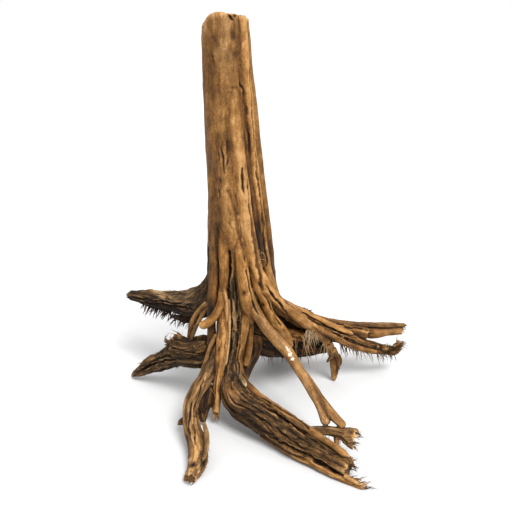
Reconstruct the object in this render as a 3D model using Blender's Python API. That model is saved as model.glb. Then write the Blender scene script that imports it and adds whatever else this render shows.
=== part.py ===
"""Decorative root: the sawn stump of a strangler fig, standing on its own roots.

One piece of wood that grew as one body. A trunk of fused stems and climbing shoots
divides at its foot into strands, and the strands run on into the spreading roots.
Metres, +Z up. The origin is the middle of the piece's box, on the floor.
"""

import bpy
import bmesh
from mathutils import Matrix, Vector

# Driving sizes
SAW_CUT = (-0.030, -0.050, 1.008)     # highest point of the saw cut, on the trunk's front rim
SAW_NORMAL = (0.05, 0.22, 1.0)        # the cut falls towards the back and a little to the right
SHOULDER = (-0.083, 0.0, 0.978)       # the worn left edge of the cut passes through here
SHOULDER_NORMAL = (-1.0, 0.0, 1.0)
FLOOR = (0.0, 0.0, 0.0)               # roots that reach the floor are worn flat at this height
FLOOR_NORMAL = (0.0, 0.0, -1.0)

# How the skin is made
CUT_SNAP = 0.0004                     # a corner this near a cut is moved onto it
CUT_TOUCH = 0.00001                   # a corner this near a cut counts as on it
GRAIN_OF_FUSING = 0.004               # the strands grow together at this fineness
SMOOTHING_PASSES = 3
SMOOTHING_STRENGTH = 0.5
TRIANGLES = 9600                      # the thinned skin has about this many
TUBE_BEVEL = 4                        # each quarter of a strand's round has this many facets more
CURVE_STEPS = 5                       # straight steps from one point of a strand to the next
CREASE_ANGLE = 0.9                    # edges bent by more radians than this stay sharp

# The wood
WOOD_COLOUR = (0.26, 0.14, 0.06, 1.0)
WOOD_ROUGHNESS = 0.8

# Each strand is a list of (x, y, z, radius) from its thick end to its tip.
# x = 0 and y = 0 is near the trunk's axis, and -y is the front.
TRUNK = {
    "stem": [(-0.036, 0.000, 1.040, 0.046), (-0.033, 0.000, 0.945, 0.050),
             (-0.030, 0.000, 0.835, 0.051), (-0.027, 0.000, 0.665, 0.050),
             (-0.023, 0.000, 0.555, 0.052), (-0.020, 0.000, 0.440, 0.054),
             (-0.018, 0.005, 0.360, 0.048), (-0.018, 0.005, 0.270, 0.042),
             (-0.020, -0.010, 0.190, 0.042), (-0.020, -0.035, 0.125, 0.040),
             (-0.024, -0.060, 0.075, 0.030)],
    "front_ridge": [(-0.014, -0.026, 0.900, 0.012), (-0.010, -0.035, 0.835, 0.014),
                    (-0.004, -0.042, 0.745, 0.017), (0.003, -0.044, 0.650, 0.018),
                    (0.014, -0.044, 0.540, 0.022), (0.028, -0.045, 0.465, 0.021),
                    (0.045, -0.046, 0.395, 0.018), (0.060, -0.044, 0.355, 0.017)],
    "right_stem": [(0.006, -0.013, 1.040, 0.013), (0.015, -0.018, 0.900, 0.014),
                   (0.024, -0.020, 0.790, 0.014), (0.031, -0.018, 0.695, 0.014),
                   (0.042, -0.016, 0.595, 0.016), (0.052, -0.012, 0.505, 0.016),
                   (0.064, -0.005, 0.425, 0.015), (0.076, 0.008, 0.360, 0.014),
                   (0.095, 0.025, 0.304, 0.013)],
    "outer_shoot": [(0.015, 0.010, 1.040, 0.010), (0.023, 0.010, 0.900, 0.011),
                    (0.035, 0.010, 0.785, 0.012), (0.044, 0.010, 0.690, 0.012),
                    (0.059, 0.012, 0.565, 0.012), (0.071, 0.016, 0.460, 0.013),
                    (0.079, 0.022, 0.375, 0.013), (0.090, 0.030, 0.313, 0.013),
                    (0.117, 0.045, 0.268, 0.012), (0.156, 0.070, 0.235, 0.011)],
    "left_shoot": [(-0.062, 0.000, 0.600, 0.008), (-0.066, 0.000, 0.530, 0.010),
                   (-0.067, 0.005, 0.435, 0.011), (-0.070, 0.005, 0.340, 0.012),
                   (-0.072, 0.010, 0.255, 0.012), (-0.072, 0.020, 0.180, 0.013)],
    "back_stem": [(-0.050, 0.028, 0.960, 0.018), (-0.045, 0.040, 0.750, 0.020),
                  (-0.040, 0.046, 0.560, 0.022), (-0.045, 0.050, 0.420, 0.024),
                  (-0.068, 0.058, 0.335, 0.026), (-0.105, 0.082, 0.288, 0.024),
                  (-0.150, 0.118, 0.262, 0.018), (-0.200, 0.158, 0.250, 0.012)],
    "back_shoot": [(0.000, 0.038, 0.900, 0.010), (0.008, 0.044, 0.700, 0.012),
                   (0.014, 0.050, 0.560, 0.013), (0.022, 0.056, 0.430, 0.016),
                   (0.036, 0.075, 0.330, 0.020), (0.060, 0.110, 0.245, 0.020),
                   (0.100, 0.172, 0.168, 0.016), (0.135, 0.235, 0.105, 0.010)],
}

FOOT_STRANDS = {
    "strand_a": [(-0.051, -0.029, 0.585, 0.008), (-0.057, -0.040, 0.505, 0.011),
                 (-0.059, -0.046, 0.435, 0.013), (-0.061, -0.049, 0.370, 0.014),
                 (-0.066, -0.051, 0.320, 0.013), (-0.069, -0.050, 0.268, 0.011),
                 (-0.073, -0.045, 0.195, 0.010)],
    "strand_b": [(-0.036, -0.039, 0.560, 0.008), (-0.035, -0.056, 0.455, 0.012),
                 (-0.035, -0.063, 0.393, 0.012), (-0.039, -0.065, 0.348, 0.009)],
    "curved_stub": [(-0.037, -0.062, 0.370, 0.009), (-0.044, -0.066, 0.322, 0.009),
                    (-0.057, -0.071, 0.292, 0.010), (-0.077, -0.071, 0.270, 0.010),
                    (-0.098, -0.065, 0.258, 0.010)],
    "hanging_root": [(-0.034, -0.060, 0.335, 0.006), (-0.040, -0.064, 0.285, 0.009),
                     (-0.039, -0.072, 0.235, 0.012), (-0.048, -0.081, 0.170, 0.011),
                     (-0.053, -0.092, 0.110, 0.011), (-0.059, -0.104, 0.037, 0.011)],
    "weathered_strand": [(-0.019, -0.030, 0.430, 0.009), (-0.013, -0.038, 0.360, 0.012),
                         (-0.010, -0.045, 0.255, 0.015), (-0.013, -0.055, 0.188, 0.015),
                         (-0.011, -0.078, 0.120, 0.018), (0.010, -0.112, 0.090, 0.020),
                         (0.058, -0.165, 0.080, 0.017)],
    "broken_stub": [(-0.015, -0.046, 0.330, 0.007), (-0.012, -0.057, 0.275, 0.010),
                    (-0.010, -0.060, 0.240, 0.009)],
    "strand_c": [(0.000, -0.036, 0.570, 0.008), (0.006, -0.055, 0.445, 0.014),
                 (0.012, -0.063, 0.380, 0.016), (0.019, -0.065, 0.336, 0.017),
                 (0.023, -0.064, 0.305, 0.016)],
    "strand_c_left": [(0.016, -0.062, 0.345, 0.010), (0.017, -0.066, 0.270, 0.011),
                      (0.008, -0.070, 0.214, 0.011), (0.000, -0.075, 0.175, 0.011),
                      (0.010, -0.088, 0.122, 0.010), (0.033, -0.113, 0.105, 0.010),
                      (0.077, -0.168, 0.096, 0.010), (0.135, -0.238, 0.091, 0.009),
                      (0.194, -0.295, 0.079, 0.008), (0.253, -0.342, 0.060, 0.007)],
    "strand_c_back": [(0.024, -0.054, 0.315, 0.007), (0.029, -0.052, 0.245, 0.008),
                      (0.025, -0.052, 0.193, 0.009), (0.015, -0.060, 0.144, 0.009)],
    "dark_strand": [(0.038, -0.005, 0.207, 0.018), (0.038, -0.020, 0.165, 0.014),
                    (0.025, -0.040, 0.135, 0.012), (0.015, -0.060, 0.105, 0.007)],
}

FRONT_ROOTS = {
    "front_left": [(-0.044, -0.050, 0.213, 0.028), (-0.067, -0.065, 0.159, 0.023),
                   (-0.084, -0.090, 0.126, 0.021), (-0.107, -0.125, 0.100, 0.020),
                   (-0.118, -0.170, 0.075, 0.019), (-0.109, -0.210, 0.050, 0.021),
                   (-0.095, -0.265, 0.033, 0.023), (-0.094, -0.310, 0.022, 0.022),
                   (-0.103, -0.345, 0.013, 0.016), (-0.112, -0.365, 0.006, 0.008)],
    "front_left_heel": [(-0.074, -0.090, 0.107, 0.015), (-0.084, -0.100, 0.069, 0.019),
                        (-0.090, -0.105, 0.037, 0.014), (-0.093, -0.108, 0.010, 0.006)],
    "front_left_spur": [(-0.112, -0.165, 0.067, 0.010), (-0.136, -0.155, 0.044, 0.010),
                        (-0.154, -0.150, 0.027, 0.005)],
    "front_right": [(-0.034, -0.080, 0.098, 0.030), (-0.002, -0.120, 0.080, 0.038),
                    (0.043, -0.160, 0.063, 0.039), (0.096, -0.205, 0.051, 0.036),
                    (0.147, -0.250, 0.043, 0.032), (0.196, -0.290, 0.037, 0.027),
                    (0.236, -0.325, 0.030, 0.023), (0.263, -0.345, 0.025, 0.019)],
    "front_right_keel": [(0.058, -0.175, 0.025, 0.014), (0.124, -0.242, 0.018, 0.016),
                         (0.182, -0.298, 0.017, 0.013), (0.229, -0.340, 0.011, 0.012),
                         (0.259, -0.362, 0.007, 0.010), (0.283, -0.380, 0.003, 0.005)],
    "cross_twig": [(0.153, -0.250, 0.070, 0.009), (0.204, -0.262, 0.079, 0.010),
                   (0.242, -0.275, 0.080, 0.013), (0.265, -0.280, 0.071, 0.022),
                   (0.281, -0.284, 0.067, 0.023)],
    "twig_post": [(0.229, -0.270, 0.074, 0.006), (0.228, -0.285, 0.063, 0.006),
                  (0.227, -0.300, 0.051, 0.007)],
    "thin_right": [(0.021, -0.060, 0.360, 0.012), (0.038, -0.067, 0.307, 0.014),
                   (0.058, -0.078, 0.275, 0.013), (0.085, -0.096, 0.245, 0.013),
                   (0.119, -0.120, 0.213, 0.013), (0.150, -0.155, 0.179, 0.012),
                   (0.177, -0.195, 0.146, 0.011), (0.198, -0.235, 0.117, 0.011),
                   (0.208, -0.262, 0.093, 0.011)],
    "thin_right_twin": [(0.138, -0.138, 0.196, 0.006), (0.175, -0.180, 0.159, 0.008),
                        (0.196, -0.215, 0.135, 0.010), (0.220, -0.250, 0.115, 0.011),
                        (0.248, -0.276, 0.096, 0.008)],
}

RIGHT_ROOTS = {
    "upper_right": [(0.040, -0.044, 0.410, 0.015), (0.068, -0.045, 0.349, 0.016),
                    (0.099, -0.028, 0.310, 0.015), (0.136, 0.000, 0.270, 0.014),
                    (0.176, 0.035, 0.224, 0.014), (0.215, 0.075, 0.174, 0.014),
                    (0.243, 0.105, 0.131, 0.014)],
    "fork": [(0.243, 0.105, 0.134, 0.013), (0.255, 0.120, 0.096, 0.011),
             (0.264, 0.132, 0.050, 0.010), (0.268, 0.141, -0.004, 0.007)],
    "fork_back": [(0.255, 0.110, 0.116, 0.010), (0.270, 0.125, 0.082, 0.009),
                  (0.276, 0.130, 0.054, 0.007), (0.272, 0.135, 0.020, 0.005)],
    "short_right": [(0.030, -0.042, 0.430, 0.012), (0.047, -0.047, 0.365, 0.016),
                    (0.062, -0.049, 0.325, 0.014), (0.075, -0.044, 0.285, 0.012),
                    (0.097, -0.030, 0.246, 0.013), (0.120, -0.010, 0.204, 0.013),
                    (0.133, 0.008, 0.167, 0.011)],
    "long_right": [(0.074, 0.030, 0.313, 0.018), (0.107, 0.050, 0.275, 0.016),
                   (0.162, 0.085, 0.229, 0.017), (0.227, 0.130, 0.180, 0.019),
                   (0.296, 0.165, 0.150, 0.020), (0.367, 0.190, 0.127, 0.021)],
    "long_right_end": [(0.311, 0.170, 0.148, 0.013), (0.375, 0.190, 0.127, 0.017),
                       (0.427, 0.205, 0.126, 0.013), (0.476, 0.215, 0.124, 0.013)],
    "bark_strip": [(0.215, 0.120, 0.200, 0.008), (0.280, 0.155, 0.174, 0.008),
                   (0.355, 0.180, 0.158, 0.008), (0.425, 0.200, 0.147, 0.008),
                   (0.483, 0.215, 0.141, 0.005)],
    "right_knob": [(0.166, 0.080, 0.234, 0.013), (0.174, 0.080, 0.249, 0.009)],
    "frayed_right": [(0.085, 0.020, 0.289, 0.018), (0.117, 0.040, 0.253, 0.015),
                     (0.161, 0.062, 0.218, 0.016), (0.225, 0.100, 0.175, 0.018),
                     (0.294, 0.135, 0.134, 0.020), (0.355, 0.160, 0.099, 0.017),
                     (0.416, 0.175, 0.080, 0.014), (0.449, 0.180, 0.078, 0.013),
                     (0.462, 0.183, 0.098, 0.007)],
    "inner_right": [(0.027, 0.050, 0.269, 0.046), (0.075, 0.070, 0.241, 0.039),
                    (0.136, 0.100, 0.199, 0.031), (0.199, 0.125, 0.161, 0.024),
                    (0.246, 0.140, 0.136, 0.017)],
    "under_mass": [(0.001, 0.030, 0.220, 0.052), (0.059, 0.060, 0.175, 0.050),
                   (0.115, 0.090, 0.141, 0.040), (0.175, 0.120, 0.116, 0.029),
                   (0.248, 0.150, 0.104, 0.018)],
}

BACK_AND_LEFT_ROOTS = {
    "back": [(-0.020, 0.040, 0.315, 0.050), (0.040, 0.100, 0.205, 0.046),
             (0.098, 0.180, 0.125, 0.038), (0.145, 0.260, 0.066, 0.030),
             (0.171, 0.330, 0.010, 0.020)],
    "back_fork": [(0.030, 0.070, 0.260, 0.030), (0.045, 0.125, 0.180, 0.028),
                  (0.065, 0.200, 0.100, 0.021), (0.085, 0.265, 0.045, 0.015),
                  (0.092, 0.300, 0.018, 0.009)],
    "upper_left": [(-0.067, 0.030, 0.302, 0.048), (-0.118, 0.070, 0.267, 0.040),
                   (-0.165, 0.110, 0.254, 0.031), (-0.218, 0.160, 0.241, 0.026),
                   (-0.273, 0.210, 0.230, 0.021), (-0.331, 0.260, 0.216, 0.013)],
    "left_flake": [(-0.106, 0.050, 0.243, 0.016), (-0.144, 0.075, 0.219, 0.012),
                   (-0.172, 0.090, 0.218, 0.008), (-0.192, 0.100, 0.221, 0.006)],
    "lower_left": [(-0.057, 0.000, 0.156, 0.044), (-0.120, 0.030, 0.139, 0.038),
                   (-0.170, 0.060, 0.122, 0.033), (-0.219, 0.095, 0.084, 0.024),
                   (-0.257, 0.120, 0.054, 0.021), (-0.312, 0.154, 0.006, 0.014)],
    "left_knob": [(-0.072, -0.005, 0.187, 0.026), (-0.120, 0.005, 0.168, 0.025),
                  (-0.165, 0.030, 0.157, 0.024), (-0.191, 0.045, 0.153, 0.018)],
    "left_spike": [(-0.148, 0.020, 0.167, 0.010), (-0.159, 0.025, 0.188, 0.008),
                   (-0.166, 0.028, 0.202, 0.005)],
    "left_bump": [(-0.171, 0.030, 0.165, 0.016), (-0.187, 0.035, 0.181, 0.009)],
    "left_link": [(-0.080, -0.015, 0.303, 0.007), (-0.104, -0.010, 0.276, 0.007),
                  (-0.121, 0.000, 0.244, 0.007), (-0.134, 0.020, 0.187, 0.007)],
    "left_rootlet": [(-0.055, -0.064, 0.237, 0.006), (-0.071, -0.069, 0.207, 0.006),
                     (-0.080, -0.072, 0.178, 0.006), (-0.087, -0.074, 0.145, 0.006)],
}


def material():
    """Dry brown fig wood."""
    wood = bpy.data.materials.new("root_wood")
    wood.use_nodes = True
    shader = wood.node_tree.nodes["Principled BSDF"]
    shader.inputs["Base Color"].default_value = WOOD_COLOUR
    shader.inputs["Roughness"].default_value = WOOD_ROUGHNESS
    shader.inputs["Metallic"].default_value = 0.0
    return wood


def strand_curve(name, points):
    """One strand: a smooth round curve that swells and thins through its points."""
    curve = bpy.data.curves.new(name, "CURVE")
    curve.dimensions = "3D"
    curve.bevel_depth = 1.0
    curve.bevel_resolution = TUBE_BEVEL
    curve.use_fill_caps = True
    curve.resolution_u = CURVE_STEPS
    spline = curve.splines.new("BEZIER")
    spline.bezier_points.add(len(points) - 1)
    for knot, (x, y, z, radius) in zip(spline.bezier_points, points):
        knot.co = (x, y, z)
        knot.radius = radius
        knot.handle_left_type = "AUTO"
        knot.handle_right_type = "AUTO"
    return bpy.data.objects.new(name, curve)


def evaluated_mesh(obj):
    """The object's mesh with its modifiers applied."""
    depsgraph = bpy.context.evaluated_depsgraph_get()
    return bpy.data.meshes.new_from_object(obj.evaluated_get(depsgraph))


def gather(strands):
    """All strands as one mesh of overlapping tubes."""
    gathered = bmesh.new()
    for name, points in strands.items():
        obj = strand_curve(name, points)
        bpy.context.collection.objects.link(obj)
        tube = evaluated_mesh(obj)
        gathered.from_mesh(tube)
        bpy.data.objects.remove(obj)
        bpy.data.meshes.remove(tube)
    mesh = bpy.data.meshes.new("strands")
    gathered.to_mesh(mesh)
    gathered.free()
    return mesh


def grow_together(obj):
    """Fuse the overlapping strands into one skin, ease it and thin its faces."""
    fuse = obj.modifiers.new("fuse", "REMESH")
    fuse.mode = "VOXEL"
    fuse.voxel_size = GRAIN_OF_FUSING
    ease = obj.modifiers.new("ease", "SMOOTH")
    ease.factor = SMOOTHING_STRENGTH
    ease.iterations = SMOOTHING_PASSES
    fused = evaluated_mesh(obj)
    obj.modifiers.clear()
    obj.data = fused
    keep_largest_body(obj.data)
    quads = len(obj.data.polygons)
    thin = obj.modifiers.new("thin", "DECIMATE")
    thin.ratio = TRIANGLES / (2.0 * quads)
    thin.use_collapse_triangulate = True
    obj.data = evaluated_mesh(obj)
    obj.modifiers.clear()


def keep_largest_body(mesh):
    """Drop any crumb that came loose from the main body."""
    work = bmesh.new()
    work.from_mesh(mesh)
    unseen = set(work.verts)
    bodies = []
    while unseen:
        stack = [unseen.pop()]
        body = set(stack)
        while stack:
            vert = stack.pop()
            for edge in vert.link_edges:
                other = edge.other_vert(vert)
                if other not in body:
                    body.add(other)
                    stack.append(other)
        unseen -= body
        bodies.append(body)
    largest = max(bodies, key=len)
    loose = [vert for body in bodies if body is not largest for vert in body]
    bmesh.ops.delete(work, geom=loose, context="VERTS")
    work.to_mesh(mesh)
    work.free()


def cut_flat(mesh, point, normal):
    """Saw off what lies beyond the plane, and close the cut with a flat face."""
    work = bmesh.new()
    work.from_mesh(mesh)
    out = Vector(normal).normalized()
    for vert in work.verts:
        beyond = (vert.co - Vector(point)).dot(out)
        if abs(beyond) < CUT_SNAP:
            vert.co -= beyond * out
    geometry = work.verts[:] + work.edges[:] + work.faces[:]
    cut = bmesh.ops.bisect_plane(work, geom=geometry, dist=CUT_TOUCH, plane_co=point,
                                 plane_no=out, clear_outer=True)
    rim = [item for item in cut["geom_cut"] if isinstance(item, bmesh.types.BMEdge)]
    bmesh.ops.holes_fill(work, edges=rim, sides=0)
    bmesh.ops.triangulate(work, faces=work.faces[:])
    bmesh.ops.recalc_face_normals(work, faces=work.faces[:])
    work.to_mesh(mesh)
    work.free()


def centre_on_floor(mesh):
    """Move the mesh so that the origin is under the middle of its box."""
    xs = [vert.co.x for vert in mesh.vertices]
    ys = [vert.co.y for vert in mesh.vertices]
    middle = Vector(((min(xs) + max(xs)) / 2.0, (min(ys) + max(ys)) / 2.0, 0.0))
    mesh.transform(Matrix.Translation(-middle))
    return middle


def main():
    """Build the root."""
    for obj in list(bpy.data.objects):
        bpy.data.objects.remove(obj)
    strands = {}
    for group in (TRUNK, FOOT_STRANDS, FRONT_ROOTS, RIGHT_ROOTS, BACK_AND_LEFT_ROOTS):
        strands.update(group)
    root = bpy.data.objects.new("root_wood", gather(strands))
    bpy.context.collection.objects.link(root)
    grow_together(root)
    cut_flat(root.data, FLOOR, FLOOR_NORMAL)
    cut_flat(root.data, SAW_CUT, SAW_NORMAL)
    cut_flat(root.data, SHOULDER, SHOULDER_NORMAL)
    middle = centre_on_floor(root.data)
    print("moved by", [round(-value, 4) for value in middle])
    print("faces", len(root.data.polygons))
    root.data.materials.clear()
    root.data.materials.append(material())
    root.data.shade_smooth()
    root.data.set_sharp_from_angle(angle=CREASE_ANGLE)


main()
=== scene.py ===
"""Decorative root: the looks of a sawn strangler fig that stands on its own roots.

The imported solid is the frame. A fine skin of the same strands stands for it, with its
flutes, cracks, knots and torn ends, and loose fibres, rootlets and flakes lie on the skin.
Metres, +Z up, the front is -Y.
"""

import logging
import math
from dataclasses import dataclass
from enum import Enum
from typing import Any

import bmesh
import bpy
import numpy as np
from mathutils import Euler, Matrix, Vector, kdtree


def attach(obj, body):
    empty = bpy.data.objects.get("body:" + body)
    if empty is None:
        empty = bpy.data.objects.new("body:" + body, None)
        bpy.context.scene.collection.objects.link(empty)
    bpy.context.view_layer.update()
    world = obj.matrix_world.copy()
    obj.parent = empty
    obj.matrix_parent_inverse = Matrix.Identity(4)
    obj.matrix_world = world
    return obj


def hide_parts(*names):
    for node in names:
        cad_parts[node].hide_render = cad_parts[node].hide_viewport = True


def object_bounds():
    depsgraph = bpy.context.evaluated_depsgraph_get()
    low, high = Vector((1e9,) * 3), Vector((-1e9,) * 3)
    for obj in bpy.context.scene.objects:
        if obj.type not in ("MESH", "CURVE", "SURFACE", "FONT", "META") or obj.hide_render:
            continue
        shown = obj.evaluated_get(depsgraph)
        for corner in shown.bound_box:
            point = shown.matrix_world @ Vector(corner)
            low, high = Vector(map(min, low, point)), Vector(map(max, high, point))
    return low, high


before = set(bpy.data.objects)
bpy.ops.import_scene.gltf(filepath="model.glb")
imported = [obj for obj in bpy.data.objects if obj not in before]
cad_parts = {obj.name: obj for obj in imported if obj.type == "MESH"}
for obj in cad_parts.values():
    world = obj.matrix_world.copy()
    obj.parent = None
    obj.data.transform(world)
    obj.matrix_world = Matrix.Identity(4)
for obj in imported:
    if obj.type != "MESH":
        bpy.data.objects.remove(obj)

log = logging.getLogger("root")

SOLID_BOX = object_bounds()                  # the box that the skin has to stay in
TRUNK_AXIS = np.array((-0.0735, 0.0204, 0.0))   # where the strands' own zero lies in the frame
SEED = 7

# The saw cut and the worn shoulder, as in the solid
SAW_CUT = (-0.030, -0.050, 1.008)
SAW_NORMAL = (0.05, 0.22, 1.0)
SHOULDER = (-0.083, 0.0, 0.978)
SHOULDER_WIDTH = 0.044
SHOULDER_DROP = 0.023
SHOULDER_EDGE = 0.10          # share of the width that lies level at the drop
SHOULDER_CURVE = 1.9
CHIP_SIZE = 0.0042            # crumbs that the saw broke out of the rim
CHIP_DEPTH = 0.0016
SAWN_ABOVE = 0.9              # corners higher than this can reach the cut

CRACK_LEG = 0.008             # a crack follows the skin in legs of this length

# Each strand is a list of (x, y, z, radius) from its thick end to its tip.
TRUNK = {
    "stem": [
        (-0.036, 0.000, 1.040, 0.046), (-0.033, 0.000, 0.945, 0.050), (-0.030, 0.000, 0.835, 0.051),
        (-0.027, 0.000, 0.665, 0.050), (-0.023, 0.000, 0.555, 0.052), (-0.020, 0.000, 0.440, 0.054),
        (-0.018, 0.005, 0.360, 0.048), (-0.018, 0.005, 0.270, 0.042), (-0.020, -0.010, 0.190, 0.042),
        (-0.020, -0.035, 0.125, 0.040), (-0.024, -0.060, 0.075, 0.030)],
    "front_ridge": [
        (-0.016, -0.022, 0.920, 0.010), (-0.010, -0.035, 0.835, 0.014), (-0.004, -0.042, 0.745, 0.017),
        (0.003, -0.044, 0.650, 0.018), (0.014, -0.044, 0.540, 0.022), (0.028, -0.045, 0.465, 0.021),
        (0.045, -0.046, 0.395, 0.018), (0.060, -0.044, 0.355, 0.017)],
    "right_stem": [
        (0.006, -0.013, 1.040, 0.013), (0.015, -0.018, 0.900, 0.014), (0.024, -0.020, 0.790, 0.014),
        (0.031, -0.018, 0.695, 0.014), (0.042, -0.016, 0.595, 0.016), (0.052, -0.012, 0.505, 0.016),
        (0.064, -0.005, 0.425, 0.015), (0.076, 0.008, 0.360, 0.014), (0.095, 0.025, 0.304, 0.013)],
    "outer_shoot": [
        (0.015, 0.010, 1.040, 0.010), (0.023, 0.010, 0.900, 0.011), (0.035, 0.010, 0.785, 0.012),
        (0.044, 0.010, 0.690, 0.012), (0.059, 0.012, 0.565, 0.012), (0.071, 0.016, 0.460, 0.013),
        (0.079, 0.022, 0.375, 0.013), (0.090, 0.030, 0.313, 0.013), (0.117, 0.045, 0.268, 0.012),
        (0.156, 0.070, 0.235, 0.011)],
    "left_shoot": [
        (-0.062, 0.000, 0.600, 0.008), (-0.066, 0.000, 0.530, 0.010), (-0.067, 0.005, 0.435, 0.011),
        (-0.070, 0.005, 0.340, 0.012), (-0.072, 0.010, 0.255, 0.012), (-0.072, 0.020, 0.180, 0.013)],
    "back_stem": [
        (-0.050, 0.028, 0.960, 0.018), (-0.045, 0.040, 0.750, 0.020), (-0.040, 0.046, 0.560, 0.022),
        (-0.045, 0.050, 0.420, 0.024), (-0.068, 0.058, 0.335, 0.026), (-0.105, 0.082, 0.288, 0.024),
        (-0.150, 0.118, 0.262, 0.018), (-0.200, 0.158, 0.250, 0.012)],
    "back_shoot": [
        (0.000, 0.038, 0.900, 0.010), (0.008, 0.044, 0.700, 0.012), (0.014, 0.050, 0.560, 0.013),
        (0.022, 0.056, 0.430, 0.016), (0.036, 0.075, 0.330, 0.020), (0.060, 0.110, 0.245, 0.020),
        (0.100, 0.172, 0.168, 0.016), (0.135, 0.235, 0.105, 0.010)],
}

FOOT_STRANDS = {
    "strand_a": [
        (-0.051, -0.029, 0.585, 0.008), (-0.057, -0.040, 0.505, 0.011), (-0.059, -0.046, 0.435, 0.013),
        (-0.061, -0.049, 0.370, 0.014), (-0.066, -0.051, 0.320, 0.013), (-0.069, -0.050, 0.268, 0.011),
        (-0.073, -0.045, 0.195, 0.010)],
    "strand_b": [
        (-0.036, -0.039, 0.560, 0.008), (-0.035, -0.056, 0.455, 0.012), (-0.035, -0.063, 0.393, 0.012),
        (-0.039, -0.065, 0.348, 0.009)],
    "curved_stub": [
        (-0.037, -0.062, 0.370, 0.009), (-0.044, -0.066, 0.322, 0.009), (-0.057, -0.071, 0.292, 0.010),
        (-0.077, -0.071, 0.270, 0.010), (-0.098, -0.065, 0.258, 0.010)],
    "hanging_root": [
        (-0.034, -0.060, 0.335, 0.007), (-0.040, -0.066, 0.285, 0.011), (-0.040, -0.074, 0.235, 0.014),
        (-0.047, -0.083, 0.170, 0.014), (-0.053, -0.093, 0.110, 0.013), (-0.059, -0.104, 0.032, 0.012)],
    "weathered_strand": [
        (-0.019, -0.030, 0.430, 0.009), (-0.013, -0.038, 0.360, 0.012), (-0.010, -0.045, 0.255, 0.015),
        (-0.013, -0.055, 0.188, 0.015), (-0.011, -0.078, 0.120, 0.018), (0.010, -0.112, 0.090, 0.020),
        (0.058, -0.165, 0.080, 0.017)],
    "broken_stub": [
        (-0.015, -0.046, 0.330, 0.007), (-0.012, -0.057, 0.275, 0.010), (-0.010, -0.060, 0.240, 0.009)],
    "strand_c": [
        (0.000, -0.036, 0.570, 0.008), (0.006, -0.055, 0.445, 0.014), (0.012, -0.063, 0.380, 0.016),
        (0.019, -0.065, 0.336, 0.017), (0.024, -0.063, 0.300, 0.015), (0.030, -0.060, 0.262, 0.009)],
    "strand_c_left": [
        (0.016, -0.062, 0.345, 0.010), (0.017, -0.066, 0.270, 0.011), (0.008, -0.070, 0.214, 0.011),
        (0.000, -0.075, 0.175, 0.011), (0.010, -0.088, 0.122, 0.010), (0.033, -0.113, 0.105, 0.010),
        (0.077, -0.168, 0.096, 0.010), (0.135, -0.238, 0.091, 0.009), (0.194, -0.295, 0.079, 0.008),
        (0.253, -0.342, 0.060, 0.007)],
    "strand_c_back": [
        (0.024, -0.054, 0.315, 0.007), (0.029, -0.052, 0.245, 0.008), (0.025, -0.052, 0.193, 0.009),
        (0.015, -0.060, 0.144, 0.009)],
    "dark_strand": [
        (0.038, -0.005, 0.207, 0.018), (0.038, -0.020, 0.165, 0.014), (0.025, -0.040, 0.135, 0.012),
        (0.015, -0.060, 0.105, 0.007)],
}

FRONT_ROOTS = {
    "front_left": [
        (-0.044, -0.050, 0.213, 0.028), (-0.067, -0.065, 0.159, 0.023), (-0.084, -0.090, 0.126, 0.021),
        (-0.107, -0.125, 0.100, 0.020), (-0.118, -0.170, 0.075, 0.019), (-0.109, -0.210, 0.050, 0.021),
        (-0.095, -0.265, 0.033, 0.023), (-0.094, -0.310, 0.022, 0.022), (-0.103, -0.340, 0.014, 0.017),
        (-0.109, -0.360, 0.010, 0.014)],
    "front_left_heel": [
        (-0.074, -0.090, 0.107, 0.015), (-0.084, -0.100, 0.069, 0.019), (-0.090, -0.105, 0.037, 0.014),
        (-0.093, -0.108, 0.010, 0.006)],
    "front_left_spur": [
        (-0.112, -0.165, 0.067, 0.010), (-0.136, -0.155, 0.044, 0.010), (-0.154, -0.150, 0.027, 0.005)],
    "front_right": [
        (-0.016, -0.048, 0.190, 0.018), (-0.026, -0.066, 0.130, 0.026), (-0.002, -0.120, 0.080, 0.038),
        (0.043, -0.160, 0.063, 0.039), (0.096, -0.205, 0.051, 0.036), (0.147, -0.250, 0.043, 0.032),
        (0.196, -0.290, 0.037, 0.027), (0.236, -0.325, 0.030, 0.023), (0.263, -0.345, 0.025, 0.019)],
    "front_right_keel": [
        (0.058, -0.175, 0.025, 0.014), (0.124, -0.242, 0.018, 0.016), (0.182, -0.298, 0.017, 0.013),
        (0.229, -0.340, 0.011, 0.012), (0.259, -0.362, 0.007, 0.010), (0.283, -0.380, 0.003, 0.005)],
    "cross_twig": [
        (0.153, -0.250, 0.070, 0.009), (0.204, -0.262, 0.079, 0.010), (0.242, -0.275, 0.080, 0.013),
        (0.265, -0.280, 0.071, 0.022), (0.281, -0.284, 0.067, 0.023)],
    "twig_post": [
        (0.229, -0.270, 0.074, 0.006), (0.228, -0.285, 0.063, 0.006), (0.227, -0.300, 0.051, 0.007)],
    "thin_right": [
        (0.021, -0.060, 0.360, 0.012), (0.038, -0.067, 0.307, 0.014), (0.058, -0.078, 0.275, 0.013),
        (0.085, -0.096, 0.245, 0.013), (0.119, -0.120, 0.213, 0.013), (0.150, -0.155, 0.179, 0.012),
        (0.177, -0.195, 0.146, 0.011), (0.198, -0.235, 0.117, 0.011), (0.208, -0.262, 0.093, 0.011)],
    "thin_right_twin": [
        (0.138, -0.138, 0.196, 0.006), (0.175, -0.180, 0.159, 0.008), (0.196, -0.215, 0.135, 0.010),
        (0.220, -0.250, 0.115, 0.011), (0.248, -0.276, 0.096, 0.008)],
}

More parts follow.
